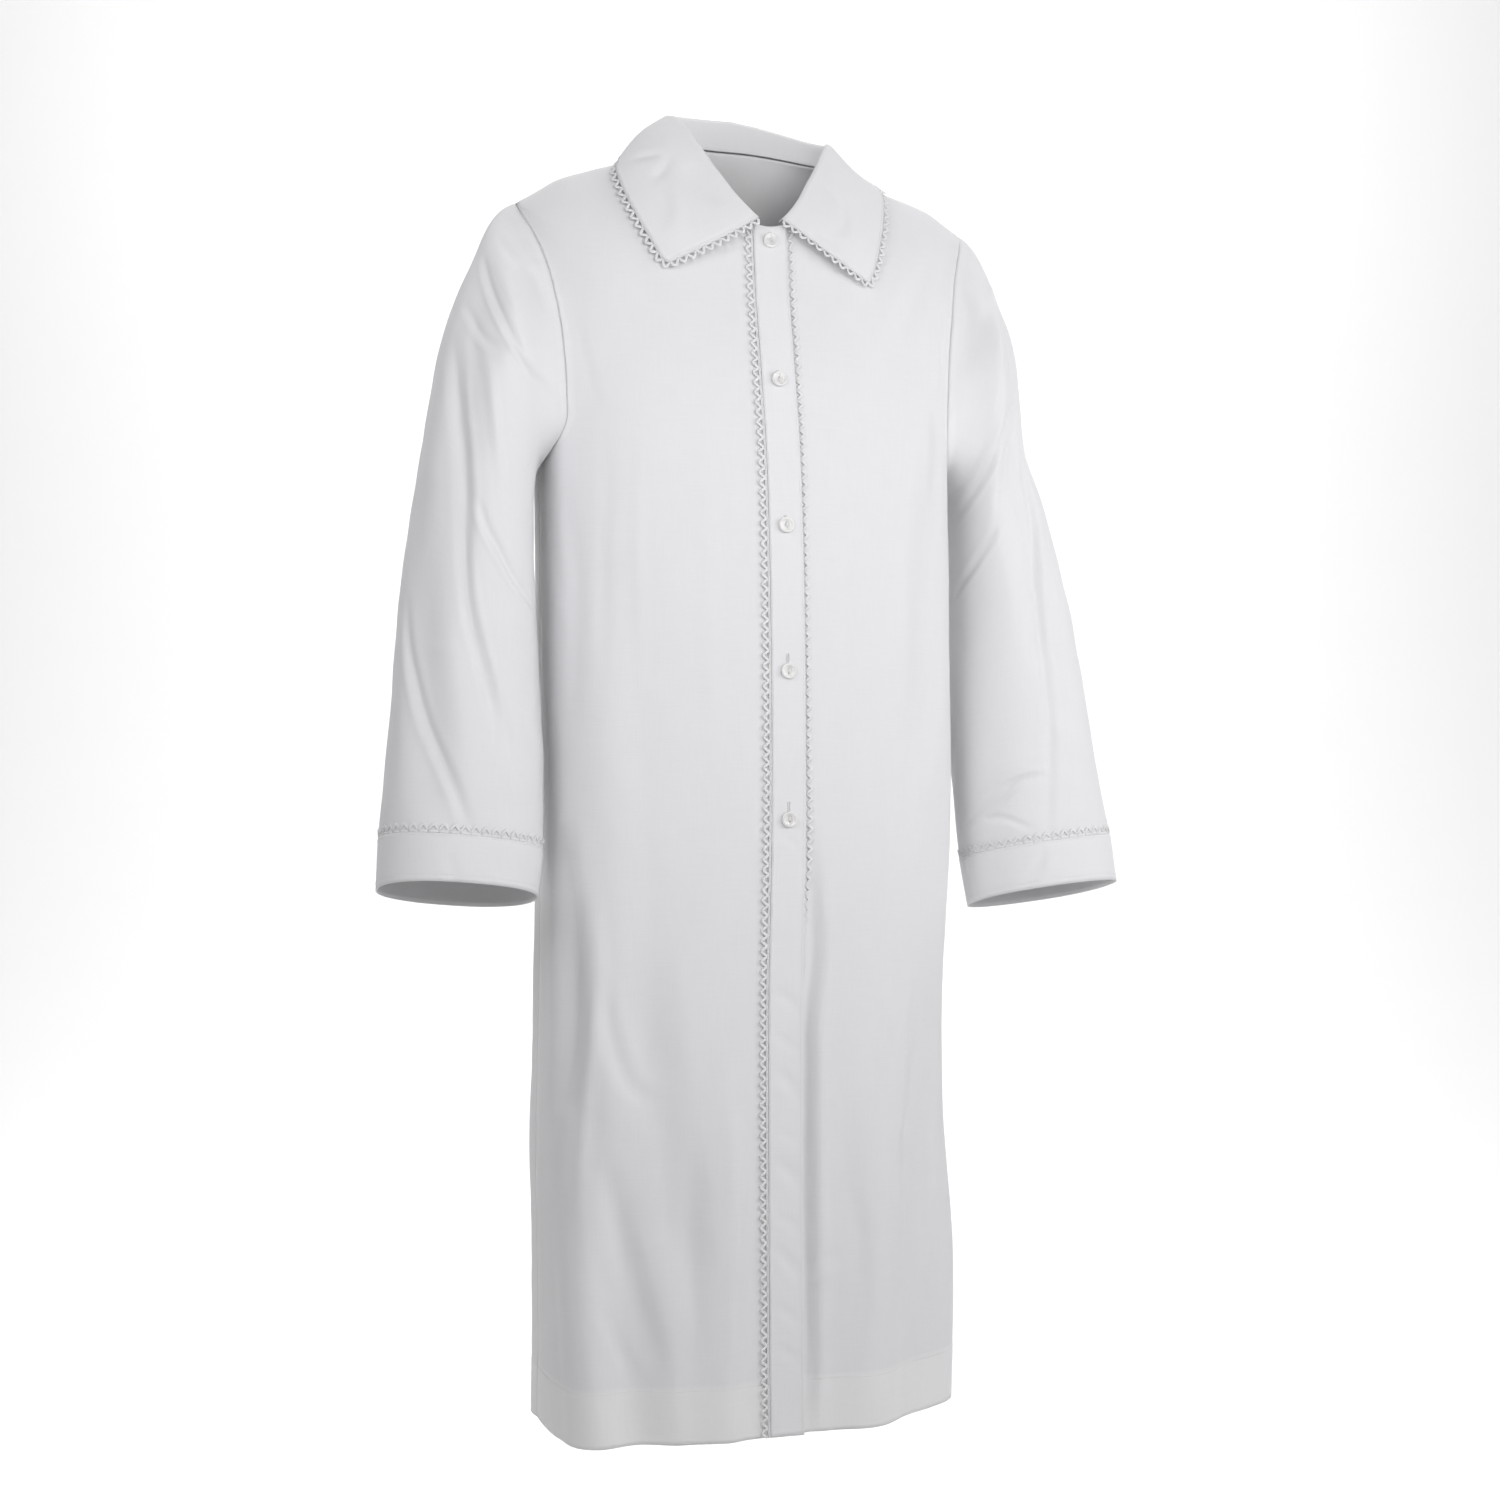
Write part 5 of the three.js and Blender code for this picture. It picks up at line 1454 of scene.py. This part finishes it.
# How far in from its front's edge each lace starts, as (drop, distance), and how far it stands off the cloth.
LACE_START = {-1: ((0, 0), (1300, 0)), 1: ((80, 1.5), (190, 4.5), (600, 4.5), (700, 2), (767, 0))}
LACE_LIFT = {-1: 1.2, 1: 0.3}
CUFF_LACE_LIFT, COLLAR_LACE_LIFT = 0.1, -0.9
CUFF_LACE_ROWS = 4  # the cuff's lace runs up the sleeve, and its way is read over these rows


def laced(rails, lift, closed=False):
    """The meshes of one lace, of which there is one."""
    return [run_on(rails, LACE_REPEAT, lace_cotton, LACE_PITCH, LACE_WIDTH, lift=lift, closed=closed)]


def front_lace(side):
    """The lace down a front, beside its band."""
    near = body[side]["front"][:, :8]
    start = np.interp(-near[:, 0, 2], *zip(*LACE_START[side]))
    along = along_rows(near)
    rails = []
    for reach in (start, start + LACE_WIDTH):
        rails.append([[np.interp(at, a, g[:, k]) for k in range(3)] for at, a, g in zip(reach, along, near)])
    return laced((*rails, body_normals(side, body[side])["front"][:, 0]), LACE_LIFT[side])


def cuff_lace(side):
    """The lace round the sleeve's end, above the cuff."""
    form = sleeves[side]
    end, above = form[-1], form[-1 - CUFF_LACE_ROWS]
    out = normals_of(form, side, closed=True)[-1]
    return laced((end, end + unit(above - end) * LACE_WIDTH, out), CUFF_LACE_LIFT, closed=True)


def rim(grid):
    """The collar's free edge, from the right leaf's fold down, round and up to the left leaf's."""
    return np.concatenate([grid[0, STAND_POINTS:], grid[1:-1, -1], grid[-1, : STAND_POINTS - 1 : -1]])


def collar_edge():
    """The line that the collar's lace is sewn along, which way is away from the collar, and which is out."""
    out = rim(collar_out)
    line = rim(collar) + out * (COLLAR_FACE - COLLAR_WALL / 2)
    away = -unit(np.cross(unit(np.gradient(line, axis=0)), out))
    for _ in range(4):
        away[1:-1] = unit(away[:-2] + away[1:-1] + away[2:])
    return line, away, out


def collar_lace(line, away, out):
    rails = (line - away * COLLAR_LACE_UNDER, line + away * (LACE_WIDTH - COLLAR_LACE_UNDER), out)
    return laced(rails, COLLAR_LACE_LIFT)


for side, name in ((-1, "right"), (1, "left")):
    trims[f"lace_front_{name}"] = front_lace(side)
    trims[f"lace_cuff_{name}"] = cuff_lace(side)
edge_line, edge_away, edge_out = collar_edge()
trims["lace_collar"] = collar_lace(edge_line, edge_away, edge_out)

# ---------------- stitching

BAND_STITCHES = 0.9  # columns in from each edge of the button band
HEM_STITCHES = 1.5  # below the hem's turned edge
CUFF_STITCHES = (2.0, 6.5)  # below a cuff's top, and above its lower edge
COLLAR_STITCHES = (3.8, 0.8)  # the strip of the collar's stitches, in from its edge
LACE_FOOT_STITCHES = 0.35  # columns in from the front's edge
LACE_FOOT_HIGH = 0.85  # the foot's stitches lie this far over the underside of the lace


def strip_beside(line, across, out):
    """The two rails of a strip of stitches, with its line in the middle, and which way is out."""
    return line - across * STITCH_HALF, line + across * STITCH_HALF, out


def sewn(rails, **more):
    """A row of stitches in the middle of its strip."""
    return run_on(rails, STITCH, sewing_thread, STITCH_PITCH, 2 * STITCH_HALF, across=STITCH_HALF, **more)


def sewn_along(line, out, **more):
    """Stitches along a line on the cloth."""
    across = unit(np.cross(out, np.gradient(line, axis=0)))
    return sewn(strip_beside(line, across, out), **more)


def down_column(grid, out, column, **more):
    """Stitches that run down a grid at a place between its columns."""
    rows = np.arange(grid.shape[0])
    columns = np.broadcast_to(column, rows.shape)
    return sewn_along(pick(grid, rows, columns), unit(pick(out, rows, columns)), **more)


def hem_stitches(grid, out):
    """Stitches along the hem's turned edge."""
    drops = -grid[..., 2]
    line, normal = [], []
    for c in range(grid.shape[1]):
        at = drops[-1, c] - HEM_DEPTH + HEM_STITCHES
        row = np.interp(at, drops[UNDERARM:, c], np.arange(UNDERARM, len(grid)))
        line.append(pick(grid, row, float(c)))
        normal.append(unit(pick(out, row, float(c))))
    return sewn_along(np.array(line), np.array(normal))


def cuff_stitches(side):
    """Two rows round a cuff."""
    ring = cuffs[side]
    out = normals_of(ring, side, closed=True)
    lower = unit(ring[-1] - ring[0])
    below_top, above_edge = CUFF_STITCHES
    upper_line = ring[0] + out[0] * CUFF_FACE + lower * below_top
    lower_line = ring[-1] + out[-1] * CUFF_FACE - lower * above_edge
    return [sewn(strip_beside(line, lower, out[0]), closed=True) for line in (upper_line, lower_line)]


def stitching():
    band_out = normals_of(bands[-1], -1)
    rows = [
        down_column(bands[-1], band_out, column) for column in (BAND_STITCHES, BAND_COLUMNS - BAND_STITCHES)
    ]
    for side in (-1, 1):
        outs = body_normals(side, body[side])
        rows += [hem_stitches(body[side][facing], outs[facing]) for facing in ("front", "back")]
        rows += cuff_stitches(side)
    face = edge_line + edge_out * COLLAR_WALL / 2
    inner, outer = (face - edge_away * inside for inside in COLLAR_STITCHES)
    rows.append(sewn((inner, outer, edge_out)))
    front_out = body_normals(-1, body[-1])["front"]
    high = LACE_LIFT[-1] + LACE_FOOT_HIGH
    rows.append(down_column(body[-1]["front"], front_out, LACE_FOOT_STITCHES, lift=high))
    return rows


trims["stitching"] = stitching()

# ---------------- buttons and buttonholes


def button_place(drop):
    """The middle of the band at a drop, and the directions across, up and out there."""
    grid = bands[-1]
    middle = BAND_COLUMNS // 2
    row = np.interp(drop, -grid[:, middle, 2], np.arange(len(grid)))
    place = pick(grid, row, middle)
    up = unit(pick(grid, row - 2, middle) - pick(grid, row + 2, middle))
    across = unit(pick(grid, row, middle + 3) - pick(grid, row, middle - 3))
    return place, across, up, np.cross(across, up)


def lathe(name, profile, steps, stretch=(1, 1, 1)):
    """A turned shape about the y axis. profile: (radius, height) from its underside to its top."""
    turns = 2 * np.pi * np.arange(steps) / steps
    points = np.array([[(r * math.sin(t), -h, r * math.cos(t)) for t in turns] for r, h in profile]) * stretch
    faces = [(a, d, c, b) for a, b, c, d in ring_faces(len(profile), steps)]
    last = (len(profile) - 1) * steps
    faces += [tuple(range(steps)), tuple(range(last, last + steps))[::-1]]
    return plain_object(name, points.reshape(-1, 3), faces)


BUTTON_PROFILE = (
    (0.4, 0), (6.2, 0), (7.0, 0.25), (7.42, 0.8), (7.5, 1.4), (7.35, 2.0), (6.95, 2.5), (6.3, 2.75),
    (5.7, 2.7), (5.2, 2.45), (4.8, 2.2), (4.0, 2.1), (2.0, 2.05), (0.4, 2.05),
)
EYE_PROFILE = ((0.1, -2.0), (0.8, -1.8), (1.5, -1.0), (1.7, 0), (1.5, 1.0), (0.8, 1.8), (0.1, 2.0))
EYE_STRETCH = (1.9, 0.95, 3.1)
EYE_HEIGHT = 2.6  # of the eye's middle over the button's underside
HOLE_APART, HOLE_RADIUS = 4.0, 0.8
# Each button is turned a little on its thread, in degrees, and sits this far off the band.
BUTTON_TILTS = (4, -9, 6, -3, 8)
BUTTON_OFF = 0.5
THREADS_ACROSS = (-0.75, -0.25, 0.25, 0.75)  # four turns of thread lie side by side over the eye
# A turn of thread from hole to hole, as (y, z) of the lying button, whose face looks towards -y.
THREAD_ARCH = ((-0.2, -1.9), (-1.5, -1.7), (-1.9, -0.8), (-1.95, 0.8), (-1.5, 1.7), (-0.2, 1.9))
THREAD_RADIUS = 0.3
# Each buttonhole reaches this far above and below its button's middle.
HOLE_ABOVE, HOLE_BELOW = (9, 9, 9, 16, 16), 4
HOLE_ROWS = (0.65, 2.35)  # where its two rows of stitches lie across their strip
HOLE_LIFT = 0.12


def two_hole_button():
    """A turned shirt button: a rounded rim, a long eye cut into its face, and two holes in the eye."""
    blank = lathe("button_blank", BUTTON_PROFILE, 48)
    eye = lathe("eye", EYE_PROFILE, 32, EYE_STRETCH)
    eye.data.transform(Matrix.Translation((0, -EYE_HEIGHT / 1000, 0)))
    tools = [eye]
    for z in (-HOLE_APART / 2, HOLE_APART / 2):
        drill = lathe("drill", ((HOLE_RADIUS, -6), (HOLE_RADIUS, 6)), 20)
        drill.data.transform(Matrix.Translation((0, 0, z / 1000)))
        tools.append(drill)
    for tool in tools:
        cut = blank.modifiers.new("cut", "BOOLEAN")
        cut.object = tool
        cut.solver = "EXACT"
    mesh = bpy.data.meshes.new_from_object(blank.evaluated_get(bpy.context.evaluated_depsgraph_get()))
    for thing in (blank, *tools):
        bpy.data.objects.remove(thing)
    form = bmesh.new()
    form.from_mesh(mesh)
    bmesh.ops.remove_doubles(form, verts=form.verts, dist=SAME_PLACE)
    bmesh.ops.dissolve_degenerate(form, dist=SAME_PLACE / 2, edges=form.edges)
    form.to_mesh(mesh)
    form.free()
    mesh.shade_smooth()
    mesh.set_sharp_from_angle(angle=math.radians(38))
    return mesh


def sew_on_buttons():
    """Five copies of the button, each with its thread."""
    blank = two_hole_button()
    threads = []
    for i, (drop, tilt) in enumerate(zip(BUTTON_DROPS, BUTTON_TILTS), 1):
        place, across, up, out = button_place(drop)
        turn = math.radians(tilt)
        side = across * math.cos(turn) + up * math.sin(turn)
        high = up * math.cos(turn) - across * math.sin(turn)
        turned = np.array([side, -out, high]).T
        mesh = blank.copy()
        laid = spots_of(mesh) @ turned.T + place + out * BUTTON_OFF
        mesh.vertices.foreach_set("co", (laid / 1000).reshape(-1).astype(np.float32))
        mesh.name = f"button_{i}"
        mesh.materials.clear()
        mesh.materials.append(pearl)
        pieces[f"button_{i}"] = placed(f"button_{i}", mesh)
        for x in THREADS_ACROSS:
            arch = np.array([(x, y, z) for y, z in THREAD_ARCH]) @ turned.T + place + out * BUTTON_OFF
            threads.append(tube(curve_through(arch, 12), THREAD_RADIUS, 6, side))
    sewing = plain_object("button_threads", *merged(*threads))
    sewing.data.materials.append(sewing_thread)
    return sewing


def buttonholes():
    """Each hole is worked along the band, and its button sits near its lower end."""
    rows = []
    for drop, above in zip(BUTTON_DROPS, HOLE_ABOVE):
        spots = [button_place(drop - step) for step in np.linspace(-HOLE_BELOW, above, 12)]
        places, sides, _, outs = (np.array(part) for part in zip(*spots))
        rails = strip_beside(places, sides, outs)
        more = {"pitch": BUTTONHOLE_PITCH, "flat_width": 2 * STITCH_HALF, "lift": HOLE_LIFT}
        for across in HOLE_ROWS:
            rows.append(run_on(rails, BUTTONHOLE_STITCH, sewing_thread, across=across, **more))
    return rows


button_threads = sew_on_buttons()
trims["buttonholes"] = buttonholes()

for name, meshes in trims.items():
    pieces[name] = keep(name, meshes)
pieces["button_threads"] = button_threads
for shape in (LACE_REPEAT, STITCH, BUTTONHOLE_STITCH):
    bpy.data.objects.remove(shape)

# ---------------- floor and light


FLOOR = -1.5  # its height in metres, and so is all of the stage
WALL_START, WALL_CURVE, WALL_TOP = 3, 2.5, 7.0  # where the floor starts to rise, its radius, and the top
SWEEP_HALF = 12


def stage_sweep():
    """A pale paper sweep, in metres: a floor that curves up into a wall behind."""
    profile = [(y, FLOOR) for y in (-9, -5, WALL_START)]
    for i in range(1, 13):
        a = math.radians(90 * i / 12)
        profile.append((WALL_START + WALL_CURVE * math.sin(a), FLOOR + WALL_CURVE * (1 - math.cos(a))))
    profile += [(WALL_START + WALL_CURVE, z) for z in (3.0, WALL_TOP)]
    turn = math.radians(CAMERA_TURN)
    spots = [
        (x * math.cos(turn) - y * math.sin(turn), x * math.sin(turn) + y * math.cos(turn), z)
        for x in (-SWEEP_HALF, SWEEP_HALF)
        for y, z in profile
    ]
    n = len(profile)
    mesh = bpy.data.meshes.new("paper_sweep")
    mesh.from_pydata(spots, [], [(i, n + i, n + i + 1, i + 1) for i in range(n - 1)])
    mesh.shade_smooth()
    material, tree, bsdf = new_material("white_background_paper", 0.9)
    place = node(tree, "ShaderNodeTexCoord").outputs["Object"]
    grain = node(tree, "ShaderNodeTexNoise", {}, {"Vector": place, "Scale": 400.0}).outputs[0]
    tones = {0: grain, 6: linear("#fbfbfb"), 7: linear("#fdfdfd")}
    tone = node(tree, "ShaderNodeMix", COLOUR_MIX, tones).outputs[2]
    tree.links.new(tone, bsdf.inputs["Base Color"])
    mesh.materials.append(material)
    sweep = placed("paper_sweep", mesh)


COOL = (0.97, 0.96, 1.0)


def lamp(name, place, target, size, power, colour=(1, 1, 1)):
    """A square soft box in metres and watts, turned to its target."""
    light = bpy.data.lights.new(name, "AREA")
    light.size = size
    light.energy = power
    light.color = colour
    thing = placed(name, light)
    thing.location = place
    way = np.array(target) - np.array(place)
    thing.rotation_euler = (
        math.atan2(math.hypot(way[0], way[1]), -way[2]),
        0,
        math.atan2(way[1], way[0]) - math.pi / 2,
    )


stage_sweep()
world = bpy.data.worlds.new("studio")
world.use_nodes = True
background = world.node_tree.nodes["Background"]
background.inputs["Color"].default_value = (1, 1, 1, 1)
background.inputs["Strength"].default_value = 0.1
bpy.context.scene.world = world
lamp("key", (0.08, -1.45, -0.05), (0, 0, -0.3), 0.9, 9.4)
lamp("fill", (-1.05, -0.85, 0.1), (-0.35, 0, -0.3), 0.8, 6.9, COOL)
lamp("side", (1.08, -0.85, -0.2), (0.36, 0, -0.5), 0.8, 7.5, COOL)
lamp("rear", (-1.4, 2.2, 1.3), (0, 0, -0.4), 1.6, 7)
lamp("backdrop_light", (0.6, 1.4, 2.5), (1.2, 5.0, -0.5), 3.6, 222)

# ---------------- hiding the model's parts that the pieces replace, and fixing every piece to the root

for name, piece in pieces.items():
    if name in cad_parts:
        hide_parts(name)
    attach(piece, "root")
